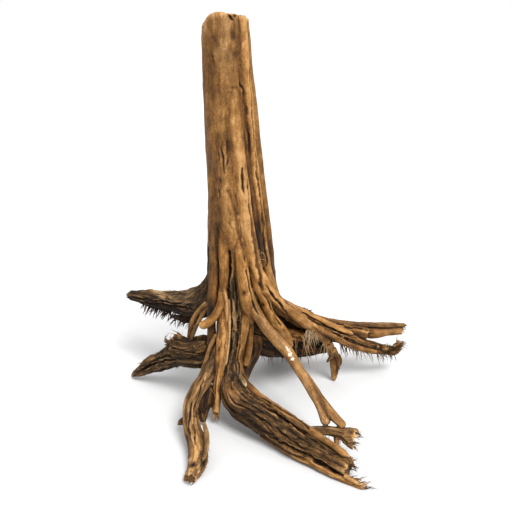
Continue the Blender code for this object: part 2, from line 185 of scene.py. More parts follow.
RIGHT_ROOTS = {
    "upper_right": [
        (0.040, -0.044, 0.410, 0.015), (0.068, -0.045, 0.349, 0.016), (0.099, -0.028, 0.310, 0.015),
        (0.136, 0.000, 0.270, 0.014), (0.172, 0.031, 0.229, 0.014), (0.190, 0.050, 0.206, 0.010),
        (0.215, 0.075, 0.176, 0.011), (0.243, 0.105, 0.133, 0.012)],
    "fork": [
        (0.243, 0.105, 0.134, 0.013), (0.255, 0.120, 0.096, 0.011), (0.264, 0.132, 0.050, 0.010),
        (0.268, 0.141, -0.004, 0.007)],
    "fork_back": [
        (0.255, 0.110, 0.116, 0.010), (0.270, 0.125, 0.082, 0.009), (0.276, 0.130, 0.054, 0.007),
        (0.272, 0.135, 0.020, 0.005)],
    "short_right": [
        (0.030, -0.042, 0.430, 0.012), (0.047, -0.047, 0.365, 0.016), (0.062, -0.049, 0.325, 0.014),
        (0.075, -0.044, 0.285, 0.012), (0.097, -0.030, 0.246, 0.013), (0.120, -0.010, 0.204, 0.013),
        (0.133, 0.008, 0.167, 0.011)],
    "long_right": [
        (0.074, 0.030, 0.313, 0.018), (0.107, 0.050, 0.275, 0.016), (0.162, 0.085, 0.229, 0.017),
        (0.227, 0.130, 0.180, 0.019), (0.296, 0.165, 0.150, 0.020), (0.367, 0.190, 0.127, 0.021)],
    "long_right_end": [
        (0.311, 0.170, 0.148, 0.013), (0.375, 0.190, 0.127, 0.017), (0.427, 0.205, 0.126, 0.013),
        (0.476, 0.215, 0.124, 0.013)],
    "bark_strip": [
        (0.215, 0.120, 0.200, 0.008), (0.280, 0.155, 0.174, 0.008), (0.355, 0.180, 0.158, 0.008),
        (0.425, 0.200, 0.147, 0.008), (0.483, 0.215, 0.141, 0.005)],
    "right_knob": [(0.166, 0.080, 0.234, 0.013), (0.174, 0.080, 0.249, 0.009)],
    "frayed_right": [
        (0.085, 0.020, 0.289, 0.018), (0.117, 0.040, 0.253, 0.015), (0.161, 0.062, 0.218, 0.016),
        (0.225, 0.100, 0.175, 0.018), (0.294, 0.135, 0.134, 0.020), (0.355, 0.160, 0.099, 0.017),
        (0.416, 0.175, 0.080, 0.014), (0.449, 0.180, 0.078, 0.013), (0.462, 0.183, 0.098, 0.007)],
    "inner_right": [
        (0.027, 0.050, 0.269, 0.046), (0.075, 0.070, 0.241, 0.039), (0.136, 0.100, 0.199, 0.031),
        (0.199, 0.125, 0.161, 0.024), (0.246, 0.140, 0.136, 0.017)],
    "under_mass": [
        (0.001, 0.030, 0.220, 0.052), (0.059, 0.060, 0.175, 0.050), (0.115, 0.090, 0.141, 0.040),
        (0.175, 0.120, 0.116, 0.029), (0.248, 0.150, 0.104, 0.018)],
}

BACK_AND_LEFT_ROOTS = {
    "back": [
        (-0.020, 0.040, 0.315, 0.050), (0.040, 0.100, 0.205, 0.046), (0.098, 0.180, 0.125, 0.038),
        (0.145, 0.260, 0.066, 0.030), (0.171, 0.330, 0.010, 0.020)],
    "back_fork": [
        (0.030, 0.070, 0.260, 0.030), (0.045, 0.125, 0.180, 0.028), (0.065, 0.200, 0.100, 0.021),
        (0.085, 0.265, 0.045, 0.015), (0.092, 0.300, 0.018, 0.009)],
    "upper_left": [
        (-0.036, 0.012, 0.430, 0.028), (-0.048, 0.018, 0.350, 0.036), (-0.072, 0.034, 0.300, 0.044),
        (-0.118, 0.070, 0.267, 0.040), (-0.165, 0.110, 0.254, 0.031), (-0.218, 0.160, 0.241, 0.026),
        (-0.273, 0.210, 0.230, 0.021), (-0.331, 0.260, 0.216, 0.013)],
    "left_flake": [
        (-0.106, 0.050, 0.243, 0.016), (-0.144, 0.075, 0.219, 0.012), (-0.172, 0.090, 0.218, 0.008),
        (-0.192, 0.100, 0.221, 0.006)],
    "lower_left": [
        (-0.057, 0.000, 0.156, 0.044), (-0.120, 0.030, 0.139, 0.038), (-0.170, 0.060, 0.122, 0.033),
        (-0.219, 0.095, 0.084, 0.024), (-0.257, 0.120, 0.054, 0.019), (-0.292, 0.142, 0.026, 0.012),
        (-0.318, 0.158, 0.006, 0.005)],
    "left_knob": [
        (-0.072, -0.005, 0.187, 0.026), (-0.120, 0.005, 0.168, 0.025), (-0.165, 0.030, 0.157, 0.026),
        (-0.189, 0.042, 0.153, 0.022)],
    "left_spike": [
        (-0.148, 0.020, 0.167, 0.010), (-0.159, 0.025, 0.188, 0.008), (-0.166, 0.028, 0.202, 0.005)],
    "left_bump": [(-0.171, 0.030, 0.165, 0.016), (-0.187, 0.035, 0.181, 0.009)],
    "left_link": [
        (-0.080, -0.015, 0.303, 0.007), (-0.104, -0.010, 0.276, 0.007), (-0.121, 0.000, 0.244, 0.007),
        (-0.134, 0.020, 0.187, 0.007)],
    "left_rootlet": [
        (-0.055, -0.064, 0.237, 0.006), (-0.071, -0.069, 0.207, 0.006), (-0.080, -0.072, 0.178, 0.006),
        (-0.087, -0.074, 0.145, 0.006)],
}

# Growths that only the skin has: where strands merged, lips of bark, stubs and scars.
GROWTHS = {
    "stem_face": [
        (-0.026, -0.012, 0.800, 0.026), (-0.024, -0.020, 0.700, 0.033), (-0.020, -0.024, 0.610, 0.038),
        (-0.014, -0.026, 0.530, 0.042), (-0.008, -0.024, 0.470, 0.040), (0.000, -0.018, 0.400, 0.030)],
    "stem_left_face": [
        (-0.044, -0.010, 0.700, 0.026), (-0.044, -0.014, 0.600, 0.030), (-0.044, -0.016, 0.500, 0.032),
        (-0.045, -0.014, 0.430, 0.028)],
    "crease_fill": [
        (0.000, -0.027, 0.910, 0.009), (0.006, -0.028, 0.835, 0.011), (0.013, -0.027, 0.745, 0.012),
        (0.021, -0.028, 0.650, 0.012), (0.034, -0.027, 0.540, 0.013), (0.046, -0.025, 0.465, 0.013),
        (0.060, -0.021, 0.400, 0.012)],
    "bark_lip": [
        (-0.037, -0.070, 0.372, 0.004), (-0.032, -0.072, 0.340, 0.005), (-0.030, -0.072, 0.300, 0.005),
        (-0.033, -0.074, 0.262, 0.004)],
    "pale_edge": [
        (-0.026, -0.062, 0.330, 0.003), (-0.024, -0.070, 0.285, 0.004), (-0.026, -0.078, 0.225, 0.004),
        (-0.034, -0.088, 0.160, 0.004)],
    "grey_rib": [
        (-0.006, -0.046, 0.400, 0.005), (0.000, -0.052, 0.330, 0.006), (0.001, -0.058, 0.260, 0.006),
        (-0.006, -0.064, 0.200, 0.006), (-0.002, -0.084, 0.140, 0.007), (0.018, -0.120, 0.118, 0.006)],
    "grey_rib_left": [
        (-0.022, -0.044, 0.380, 0.004), (-0.020, -0.052, 0.320, 0.005), (-0.022, -0.058, 0.250, 0.005),
        (-0.024, -0.066, 0.180, 0.006), (-0.020, -0.086, 0.130, 0.006)],
    "knob_low": [(0.158, 0.064, 0.232, 0.009), (0.165, 0.066, 0.240, 0.007)],
    "knob_right": [(0.182, 0.082, 0.232, 0.009), (0.190, 0.084, 0.238, 0.006)],
    "scar_bump": [(0.246, 0.128, 0.200, 0.007), (0.250, 0.128, 0.208, 0.004)],
    "tip_lump": [(0.400, 0.168, 0.088, 0.010), (0.425, 0.170, 0.090, 0.010)],
    "tip_curl": [(0.436, 0.176, 0.088, 0.009), (0.452, 0.178, 0.098, 0.007), (0.450, 0.180, 0.110, 0.005)],
    "tip_stub": [(0.386, 0.160, 0.090, 0.008), (0.394, 0.158, 0.104, 0.005)],
    "right_band": [
        (0.120, 0.020, 0.284, 0.007), (0.165, 0.062, 0.247, 0.008), (0.225, 0.094, 0.203, 0.009),
        (0.280, 0.118, 0.168, 0.008), (0.318, 0.136, 0.146, 0.006)],
    "right_band_low": [
        (0.140, 0.006, 0.262, 0.006), (0.180, 0.040, 0.222, 0.008), (0.240, 0.084, 0.170, 0.009),
        (0.300, 0.118, 0.124, 0.009), (0.360, 0.142, 0.094, 0.008), (0.405, 0.158, 0.080, 0.005)],
    "fork_spike": [
        (0.256, 0.118, 0.090, 0.006), (0.246, 0.112, 0.078, 0.004), (0.240, 0.108, 0.072, 0.002)],
    "fork_splinter": [
        (0.274, 0.128, 0.090, 0.006), (0.282, 0.130, 0.070, 0.005), (0.284, 0.132, 0.050, 0.002)],
    "bark_flap": [
        (-0.082, -0.215, 0.072, 0.004), (-0.074, -0.245, 0.062, 0.005), (-0.072, -0.290, 0.046, 0.005),
        (-0.078, -0.320, 0.034, 0.004)],
    "left_spike_small": [(-0.160, 0.024, 0.176, 0.008), (-0.176, 0.030, 0.196, 0.004)],
    "left_ridge": [
        (-0.110, -0.018, 0.176, 0.010), (-0.145, -0.004, 0.164, 0.010), (-0.178, 0.018, 0.150, 0.009),
        (-0.192, 0.030, 0.140, 0.006)],
    "left_thorn": [
        (-0.176, 0.026, 0.166, 0.008), (-0.196, 0.034, 0.172, 0.005), (-0.200, 0.036, 0.184, 0.003)],
    "left_upper_lump": [
        (-0.215, 0.078, 0.104, 0.014), (-0.250, 0.100, 0.078, 0.014), (-0.285, 0.122, 0.050, 0.008)],
    "link_twin": [
        (-0.076, -0.020, 0.296, 0.005), (-0.098, -0.018, 0.262, 0.005), (-0.116, -0.008, 0.222, 0.005),
        (-0.128, 0.006, 0.186, 0.005)],
    "under_ledge": [
        (0.095, 0.015, 0.206, 0.020), (0.135, 0.040, 0.186, 0.018), (0.172, 0.062, 0.176, 0.012),
        (0.200, 0.085, 0.170, 0.006)],
    "keel_fray": [
        (0.240, -0.352, 0.020, 0.006), (0.266, -0.372, 0.014, 0.004), (0.290, -0.384, 0.014, 0.002)],
    "root_flake": [
        (0.150, -0.232, 0.084, 0.006), (0.170, -0.246, 0.092, 0.005), (0.180, -0.250, 0.088, 0.002)],
}

SAME_WOOD = {"stem_face": "stem", "stem_left_face": "stem"}    # growths that share a strand's grain

STRANDS = {**TRUNK, **FOOT_STRANDS, **FRONT_ROOTS, **RIGHT_ROOTS, **BACK_AND_LEFT_ROOTS, **GROWTHS}


class Tip(Enum):
    """How a strand ends."""

    POINTED = "pointed"
    ROUND = "round"
    TORN = "torn"
    SAWN = "sawn"


@dataclass(frozen=True)
class Look:
    """The wood of one strand.

    age runs from 0, fresh golden wood, to 1, nearly black, at the thick end and at the tip; on a few strands
    it also holds painted shade.
    grey is how far the wood has weathered, and rough how deep its grooves are.
    """

    age: tuple[float, float]
    grey: float = 0.0
    rough: float = 0.2
    tip: Tip = Tip.ROUND


LOOKS: dict[str, Look] = {
    "stem": Look((0.42, 0.42), 0.08, 0.26, Tip.SAWN),
    "front_ridge": Look((0.38, 0.32), 0.04, 0.20),
    "right_stem": Look((0.22, 0.38), 0.0, 0.20, Tip.SAWN),
    "outer_shoot": Look((0.44, 0.62), 0.08, 0.35, Tip.SAWN),
    "left_shoot": Look((0.72, 0.76), 0.20, 0.50),
    "back_stem": Look((0.42, 0.60), 0.12, 0.40),
    "back_shoot": Look((0.36, 0.55), 0.10, 0.35),
    # strand_a, strand_b and strand_c are darker partly as painted shade at the trunk's foot
    "strand_a": Look((0.60, 0.78), 0.05, 0.42),
    "strand_b": Look((0.52, 0.62), 0.0, 0.36),
    "curved_stub": Look((0.52, 0.48), 0.0, 0.34),
    "hanging_root": Look((0.38, 0.28), 0.0, 0.52, Tip.TORN),
    "weathered_strand": Look((0.70, 0.68), 0.60, 0.90),
    "broken_stub": Look((0.52, 0.46), 0.40, 0.80, Tip.TORN),
    "strand_c": Look((0.42, 0.50), 0.0, 0.24),
    "strand_c_left": Look((0.44, 0.58), 0.05, 0.55, Tip.POINTED),
    "strand_c_back": Look((0.52, 0.56), 0.05, 0.45),
    "dark_strand": Look((0.88, 0.90), 0.10, 0.60),
    "front_left": Look((0.62, 0.48), 0.35, 0.72, Tip.TORN),
    "front_left_heel": Look((0.85, 0.92), 0.15, 0.80, Tip.TORN),
    "front_left_spur": Look((0.88, 0.92), 0.10, 0.60, Tip.POINTED),
    "front_right": Look((0.76, 0.68), 0.28, 0.88, Tip.TORN),
    "front_right_keel": Look((0.52, 0.40), 0.0, 0.70, Tip.POINTED),
    "cross_twig": Look((0.62, 0.56), 0.30, 0.60, Tip.TORN),
    "twig_post": Look((0.58, 0.58), 0.10, 0.40),
    "thin_right": Look((0.46, 0.46), 0.18, 0.26),
    "thin_right_twin": Look((0.52, 0.60), 0.10, 0.40),
    "upper_right": Look((0.36, 0.46), 0.0, 0.26),
    "fork": Look((0.42, 0.42), 0.10, 0.50, Tip.POINTED),
    "fork_back": Look((0.62, 0.72), 0.10, 0.70, Tip.TORN),
    "short_right": Look((0.42, 0.46), 0.0, 0.26),
    "long_right": Look((0.46, 0.54), 0.12, 0.60, Tip.TORN),
    "long_right_end": Look((0.46, 0.42), 0.10, 0.35, Tip.TORN),
    "bark_strip": Look((0.72, 0.76), 0.40, 0.70, Tip.POINTED),
    "right_knob": Look((0.56, 0.58), 0.0, 0.70),
    "frayed_right": Look((0.48, 0.72), 0.15, 0.85, Tip.TORN),
    # inner_right and under_mass are near black as painted shade behind and under the right roots
    "inner_right": Look((0.82, 0.85), 0.0, 0.70),
    "under_mass": Look((0.92, 0.94), 0.05, 0.80),
    "back": Look((0.60, 0.55), 0.25, 0.90, Tip.TORN),
    "back_fork": Look((0.60, 0.52), 0.20, 0.80, Tip.POINTED),
    "upper_left": Look((0.74, 0.92), 0.55, 0.85, Tip.TORN),
    "left_flake": Look((0.92, 0.94), 0.15, 0.80, Tip.POINTED),
    "lower_left": Look((0.82, 0.76), 0.60, 0.90, Tip.POINTED),
    "left_knob": Look((0.78, 0.74), 0.40, 0.85),
    "left_spike": Look((0.80, 0.78), 0.35, 0.70, Tip.POINTED),
    "left_bump": Look((0.78, 0.78), 0.35, 0.80, Tip.TORN),
    "left_link": Look((0.56, 0.54), 0.15, 0.45),
    "left_rootlet": Look((0.48, 0.56), 0.20, 0.40),
    "stem_face": Look((0.40, 0.32), 0.08, 0.20),
    "stem_left_face": Look((0.44, 0.40), 0.10, 0.24),
    "crease_fill": Look((0.46, 0.66), 0.0, 0.30),
    "bark_lip": Look((0.30, 0.34), 0.10, 0.50, Tip.POINTED),
    "pale_edge": Look((0.22, 0.18), 0.20, 0.50, Tip.POINTED),
    "grey_rib": Look((0.60, 0.62), 0.70, 0.90, Tip.POINTED),
    "grey_rib_left": Look((0.62, 0.64), 0.70, 0.90, Tip.POINTED),
    "knob_low": Look((0.56, 0.58), 0.0, 0.70),
    "knob_right": Look((0.56, 0.58), 0.0, 0.70),
    "scar_bump": Look((0.60, 0.60), 0.10, 0.60),
    "tip_lump": Look((0.58, 0.62), 0.30, 0.90),
    "tip_curl": Look((0.62, 0.70), 0.30, 0.90, Tip.TORN),
    "right_band": Look((0.36, 0.46), 0.0, 0.40, Tip.POINTED),
    "right_band_low": Look((0.44, 0.60), 0.05, 0.50, Tip.POINTED),
    "tip_stub": Look((0.66, 0.72), 0.30, 0.90, Tip.TORN),
    "fork_spike": Look((0.72, 0.80), 0.10, 0.60, Tip.POINTED),
    "fork_splinter": Look((0.72, 0.80), 0.10, 0.60, Tip.POINTED),
    "bark_flap": Look((0.70, 0.62), 0.40, 0.80, Tip.POINTED),
    "left_spike_small": Look((0.80, 0.78), 0.35, 0.70, Tip.POINTED),
    "left_ridge": Look((0.74, 0.72), 0.40, 0.90),
    "left_thorn": Look((0.80, 0.78), 0.35, 0.70, Tip.POINTED),
    "left_upper_lump": Look((0.80, 0.74), 0.40, 0.90, Tip.POINTED),
    "link_twin": Look((0.60, 0.60), 0.15, 0.45),
    "under_ledge": Look((0.56, 0.66), 0.0, 0.80, Tip.POINTED),
    "keel_fray": Look((0.42, 0.36), 0.10, 0.60, Tip.POINTED),
    "root_flake": Look((0.80, 0.84), 0.30, 0.60, Tip.POINTED),
}


@dataclass(frozen=True)
class Crack:
    """A drying crack or slit that follows the grain: its line, half width, depth and the painted shade laid
    into it.
    """

    line: tuple[tuple[float, float, float], ...]
    width: float
    depth: float
    crack_shade: float = 0.8


CRACKS: dict[str, Crack] = {
    "top_notch": Crack(
        ((-0.017, -0.043, 1.006), (-0.013, -0.042, 0.997), (-0.008, -0.040, 0.986)), 0.0045, 0.006, 0.5),
    "dotted_crack": Crack(
        ((-0.058, -0.042, 0.947), (-0.057, -0.043, 0.925), (-0.055, -0.044, 0.904),
        (-0.050, -0.046, 0.882)), 0.0020, 0.0020, 0.6),
    "crease_high": Crack(
        ((0.006, -0.034, 0.858), (0.013, -0.031, 0.820), (0.015, -0.031, 0.778), (0.017, -0.027, 0.719),
        (0.019, -0.027, 0.676)), 0.0060, 0.0035, 0.22),
    "dark_slit": Crack(
        ((0.006, -0.034, 0.856), (0.011, -0.032, 0.836), (0.013, -0.031, 0.818)), 0.0032, 0.005, 0.9),
    "crack_left": Crack(((-0.044, -0.046, 0.695), (-0.042, -0.046, 0.672)), 0.0032, 0.003, 0.8),
    "crack_middle": Crack(
        ((-0.037, -0.048, 0.712), (-0.033, -0.049, 0.680), (-0.028, -0.050, 0.640)), 0.0040, 0.0032, 0.9),
    "crack_right": Crack(
        ((-0.027, -0.050, 0.736), (-0.025, -0.049, 0.690), (-0.026, -0.049, 0.642)), 0.0034, 0.0028, 0.8),
    "oblique_long": Crack(
        ((-0.052, -0.042, 0.631), (-0.043, -0.046, 0.598), (-0.033, -0.049, 0.562)), 0.0026, 0.003, 0.85),
    "oblique_short": Crack(((-0.040, -0.047, 0.634), (-0.036, -0.048, 0.613)), 0.0024, 0.0025, 0.8),
    "ridge_left": Crack(
        ((-0.031, -0.049, 0.640), (-0.019, -0.050, 0.591), (-0.005, -0.052, 0.517), (0.011, -0.067, 0.446)),
        0.0070, 0.0022, 0.12),
    "slit_upper": Crack(
        ((0.010, -0.058, 0.662), (0.011, -0.060, 0.630), (0.012, -0.060, 0.598)), 0.0050, 0.009, 0.9),
    "slit_lower": Crack(
        ((0.021, -0.052, 0.630), (0.025, -0.054, 0.593), (0.030, -0.056, 0.550)), 0.0060, 0.010, 0.9),
    "hollow": Crack(
        ((0.022, -0.055, 0.620), (0.029, -0.055, 0.563), (0.036, -0.056, 0.518), (0.043, -0.058, 0.469),
        (0.050, -0.060, 0.418), (0.058, -0.055, 0.352), (0.066, -0.050, 0.330)), 0.0100, 0.005, 0.40),
    "outer_groove": Crack(
        ((0.029, -0.024, 0.885), (0.034, -0.027, 0.812), (0.041, -0.024, 0.731), (0.048, -0.025, 0.647),
        (0.058, -0.024, 0.560), (0.068, -0.018, 0.482)), 0.0080, 0.008, 0.60),
    "hollow_right": Crack(
        ((0.056, -0.026, 0.560), (0.063, -0.023, 0.471), (0.071, -0.015, 0.403), (0.078, -0.040, 0.352)),
        0.0055, 0.006, 0.6),
    "left_strip": Crack(
        ((-0.070, -0.018, 0.560), (-0.070, -0.040, 0.453), (-0.072, -0.050, 0.353),
        (-0.074, -0.050, 0.280)), 0.0045, 0.004, 0.7),
    "scratch_left": Crack(
        ((-0.029, -0.051, 0.542), (-0.015, -0.053, 0.515), (-0.003, -0.060, 0.482)), 0.0018, 0.0012, 0.35),
    "scratch_right": Crack(
        ((-0.022, -0.052, 0.547), (-0.008, -0.053, 0.517), (0.004, -0.061, 0.490)), 0.0018, 0.0012, 0.30),
    "groove_a_b": Crack(
        ((-0.048, -0.058, 0.458), (-0.045, -0.062, 0.395), (-0.044, -0.064, 0.339),
        (-0.046, -0.060, 0.300)), 0.0050, 0.008, 0.95),
    "groove_b_c": Crack(
        ((-0.022, -0.060, 0.462), (-0.023, -0.050, 0.420), (-0.023, -0.046, 0.387), (-0.022, -0.047, 0.321),
        (-0.021, -0.055, 0.280)), 0.0060, 0.010, 1.0),
    "groove_c_d": Crack(
        ((0.013, -0.068, 0.445), (0.019, -0.072, 0.397), (0.027, -0.074, 0.354), (0.038, -0.076, 0.312),
        (0.052, -0.076, 0.288)), 0.0045, 0.009, 0.95),
    "thin_short": Crack(
        ((0.050, -0.062, 0.372), (0.060, -0.060, 0.345), (0.080, -0.053, 0.305), (0.101, -0.040, 0.259),
        (0.115, -0.032, 0.227)), 0.0050, 0.009, 1.0),
    "short_upper": Crack(
        ((0.066, -0.058, 0.370), (0.084, -0.050, 0.335), (0.103, -0.038, 0.306), (0.130, -0.008, 0.262)),
        0.0045, 0.009, 1.0),
    "lip_of_bark": Crack(
        ((-0.046, -0.070, 0.362), (-0.036, -0.075, 0.361), (-0.027, -0.066, 0.358)), 0.0022, 0.003, 0.8),
    "grey_cleft_left": Crack(
        ((-0.019, -0.052, 0.345), (-0.017, -0.062, 0.261), (-0.023, -0.067, 0.193),
        (-0.034, -0.070, 0.139)), 0.0045, 0.008, 0.75),
    "grey_cleft": Crack(
        ((-0.007, -0.049, 0.370), (-0.002, -0.056, 0.284), (-0.005, -0.065, 0.220),
        (-0.018, -0.077, 0.164)), 0.0035, 0.006, 0.6),
    "grey_cleft_right": Crack(
        ((0.008, -0.060, 0.290), (0.003, -0.072, 0.213), (-0.002, -0.082, 0.161), (0.003, -0.096, 0.124)),
        0.0040, 0.007, 0.75),
    "hanging_line": Crack(
        ((-0.043, -0.071, 0.299), (-0.046, -0.084, 0.228), (-0.053, -0.094, 0.138),
        (-0.062, -0.106, 0.061)), 0.0026, 0.0026, 0.75),
    "hanging_line_right": Crack(
        ((-0.033, -0.072, 0.250), (-0.040, -0.086, 0.180), (-0.046, -0.096, 0.110)), 0.0016, 0.0016, 0.6),
    "elbow_crack": Crack(
        ((-0.100, -0.139, 0.110), (-0.087, -0.126, 0.110), (-0.075, -0.110, 0.098)), 0.0024, 0.004, 0.9),
    "front_left_middle": Crack(
        ((-0.085, -0.098, 0.147), (-0.098, -0.143, 0.107), (-0.106, -0.206, 0.074),
        (-0.095, -0.295, 0.048)), 0.0035, 0.004, 0.7),
    "front_left_side": Crack(
        ((-0.112, -0.150, 0.104), (-0.119, -0.228, 0.060), (-0.112, -0.300, 0.040)), 0.0045, 0.005, 0.95),
    "front_right_top": Crack(
        ((0.028, -0.129, 0.108), (0.101, -0.199, 0.102), (0.168, -0.273, 0.088), (0.228, -0.325, 0.064)),
        0.0035, 0.005, 0.9),
    "front_right_high": Crack(
        ((-0.017, -0.123, 0.116), (0.041, -0.160, 0.103), (0.100, -0.213, 0.089), (0.157, -0.267, 0.072),
        (0.211, -0.323, 0.052)), 0.0040, 0.006, 0.9),
    "front_right_low": Crack(
        ((-0.026, -0.141, 0.098), (0.028, -0.184, 0.088), (0.088, -0.235, 0.069), (0.145, -0.284, 0.051),
        (0.189, -0.318, 0.036)), 0.0040, 0.006, 0.9),
    "front_right_deep": Crack(
        ((0.060, -0.215, 0.050), (0.085, -0.240, 0.042), (0.145, -0.287, 0.037), (0.200, -0.326, 0.030),
        (0.242, -0.356, 0.022)), 0.0085, 0.014, 1.0),
    "right_first": Crack(
        ((0.111, -0.030, 0.306), (0.157, 0.010, 0.262), (0.217, 0.078, 0.196), (0.291, 0.113, 0.145),
        (0.367, 0.147, 0.099)), 0.0050, 0.009, 1.0),
    "right_second": Crack(
        ((0.140, 0.030, 0.262), (0.175, 0.060, 0.238), (0.230, 0.092, 0.196), (0.290, 0.122, 0.160),
        (0.330, 0.145, 0.138)), 0.0040, 0.007, 0.9),
    "right_third": Crack(
        ((0.175, 0.083, 0.247), (0.249, 0.125, 0.196), (0.324, 0.155, 0.158), (0.376, 0.176, 0.139)),
        0.0035, 0.006, 0.85),
    "sleeve_line": Crack(
        ((0.240, 0.105, 0.197), (0.300, 0.140, 0.168), (0.360, 0.170, 0.147)), 0.0030, 0.005, 0.8),
    "left_split": Crack(
        ((-0.302, 0.130, 0.030), (-0.252, 0.092, 0.070), (-0.204, 0.048, 0.112), (-0.165, 0.010, 0.130)),
        0.0050, 0.010, 1.0),
    "left_upper_split": Crack(
        ((-0.275, 0.104, 0.060), (-0.220, 0.065, 0.108), (-0.180, 0.020, 0.140)), 0.0035, 0.006, 0.9),
    "left_band_edge": Crack(
        ((-0.324, 0.236, 0.222), (-0.255, 0.160, 0.240), (-0.175, 0.080, 0.262), (-0.120, 0.030, 0.285)),
        0.0050, 0.006, 0.95),
    "left_band_low": Crack(
        ((-0.306, 0.218, 0.212), (-0.222, 0.127, 0.240), (-0.145, 0.047, 0.262), (-0.094, 0.012, 0.270)),
        0.0060, 0.007, 1.0),
    "left_knob_line": Crack(
        ((-0.191, 0.026, 0.160), (-0.143, -0.009, 0.166), (-0.089, -0.028, 0.160)), 0.0040, 0.006, 0.95),
}


@dataclass(frozen=True)
class Patch:
    """A soft patch of other wood, and on a few patches of painted light and shade: its middle, its reach
    each way, and what it adds.
    """

    middle: tuple[float, float, float]
    reach: tuple[float, float, float]
    age: float = 0.0
    grey: float = 0.0
    dent: float = 0.0
    rough: float = 0.0


PATCHES: dict[str, Patch] = {
    "knot_at_top": Patch((-0.007, -0.041, 0.958), (0.008, 0.02, 0.012), 0.34, 0.0, 0.0022),
    "dark_at_top": Patch((-0.047, -0.046, 0.952), (0.014, 0.03, 0.014), 0.22),
    "brown_left": Patch((-0.064, -0.035, 0.905), (0.013, 0.03, 0.030), 0.08),
    "brown_lower_left": Patch((-0.058, -0.035, 0.850), (0.022, 0.03, 0.028), 0.14),
    "brown_band": Patch((-0.020, -0.045, 0.770), (0.014, 0.03, 0.045), 0.08),
    "olive_middle": Patch((-0.030, -0.050, 0.925), (0.016, 0.03, 0.040), -0.06, 0.16),
    "grey_rim": Patch((-0.030, -0.045, 0.985), (0.030, 0.03, 0.012), 0.0, 0.14),
    "gold_low": Patch((0.004, -0.060, 0.520), (0.026, 0.04, 0.110), -0.16),
    "gold_fold": Patch((-0.010, -0.060, 0.680), (0.012, 0.03, 0.080), -0.12),
    # painted shade in the hollow down the trunk's right side
    "hollow_shade": Patch((0.048, -0.030, 0.460), (0.016, 0.03, 0.075), 0.28),
    "dark_peel_edge": Patch((0.130, -0.122, 0.200), (0.006, 0.014, 0.008), 0.5),
    "knot_on_c": Patch((0.014, -0.080, 0.353), (0.004, 0.008, 0.005), 0.5, 0.0, 0.002),
    "knot_on_d": Patch((0.060, -0.060, 0.313), (0.005, 0.008, 0.005), 0.4, 0.0, 0.002),
    "ruddy_stem": Patch((0.060, -0.020, 0.500), (0.014, 0.03, 0.150), 0.10),
    "dark_foot": Patch((-0.068, -0.045, 0.290), (0.016, 0.04, 0.060), 0.22),
    "shaded_b": Patch((-0.030, -0.050, 0.330), (0.012, 0.03, 0.050), 0.20),
    "tan_on_root": Patch((-0.005, -0.135, 0.105), (0.030, 0.025, 0.014), -0.30),
    "dark_flank": Patch((0.015, -0.175, 0.062), (0.060, 0.04, 0.022), 0.30),
    "tan_keel": Patch((0.160, -0.300, 0.012), (0.080, 0.05, 0.010), -0.20),
    "tan_face": Patch((-0.098, -0.270, 0.045), (0.013, 0.075, 0.020), -0.26, -0.25),
    "dark_left_edge": Patch((-0.120, -0.290, 0.030), (0.008, 0.060, 0.020), 0.35),
    "dark_right_edge": Patch((-0.076, -0.290, 0.030), (0.006, 0.060, 0.020), 0.40),
    "knot_hole": Patch((-0.100, -0.330, 0.034), (0.008, 0.008, 0.008), 0.60, 0.0, 0.005),
    # painted light on the top of the upper-left root, with some grey weathering
    "painted_light_grey_band": Patch((-0.235, 0.165, 0.266), (0.100, 0.110, 0.013), -0.58, 0.15),
    "painted_light_grey_band_root": Patch((-0.130, 0.075, 0.300), (0.060, 0.060, 0.018), -0.34, 0.20),
    # painted shade on the underside of the upper-left root
    "shade_under_left_root": Patch((-0.180, 0.100, 0.225), (0.120, 0.120, 0.026), 0.45),
    "rough_top_ridge": Patch((0.130, -0.225, 0.090), (0.110, 0.100, 0.030), 0.06, 0.15, 0.0, 0.40),
    "pits_at_top": Patch((-0.004, -0.035, 0.999), (0.003, 0.01, 0.003), 0.50, 0.0, 0.003),
}


def value_noise(points: np.ndarray, seed: int) -> np.ndarray:
    """Smooth random values from 0 to 1 at many places at once.

    Args:
        points: places, one row each, in cells of the noise.
        seed: a number that picks the pattern.

    Returns:
        One value for each place.
    """
    cell = np.floor(points).astype(np.int64)
    part = points - cell
    ease = part ** 3 * (part * (part * 6.0 - 15.0) + 10.0)
    total = np.zeros(len(points))
    for corner in range(8):
        step = np.array(((corner >> 0) & 1, (corner >> 1) & 1, (corner >> 2) & 1))
        at = cell + step
        mixed = at[:, 0] * 73856093 ^ at[:, 1] * 19349663 ^ at[:, 2] * 83492791 ^ seed * 9176263
        mixed = ((mixed ^ (mixed >> 13)) * 1274126177) & 0xFFFFFFFF
        mixed ^= mixed >> 16
        weight = np.prod(np.where(step == 1, ease, 1.0 - ease), axis=1)
        total += weight * (mixed & 0xFFFF) / 65535.0
    return total


def along_grain(places: np.ndarray, width: float, length: float, seed: int) -> np.ndarray:
    """Noise in cells that are width across the grain and length along it.

    Args:
        places: (across, across, along) in metres.
        width: size of a cell across the grain.
        length: size of a cell along the grain.
        seed: a number that picks the pattern.

    Returns:
        Values from 0 to 1.
    """
    return value_noise(places / np.array((width, width, length)), seed)


def smooth_step(low: float, high: float, values: np.ndarray) -> np.ndarray:
    """Values eased from 0 at low to 1 at high.

    Args:
        low: where the values start to rise.
        high: where they are up.
        values: what is eased.

    Returns:
        The eased shares.
    """
    share = np.clip((values - low) / (high - low), 0.0, 1.0)
    return share * share * (3.0 - 2.0 * share)


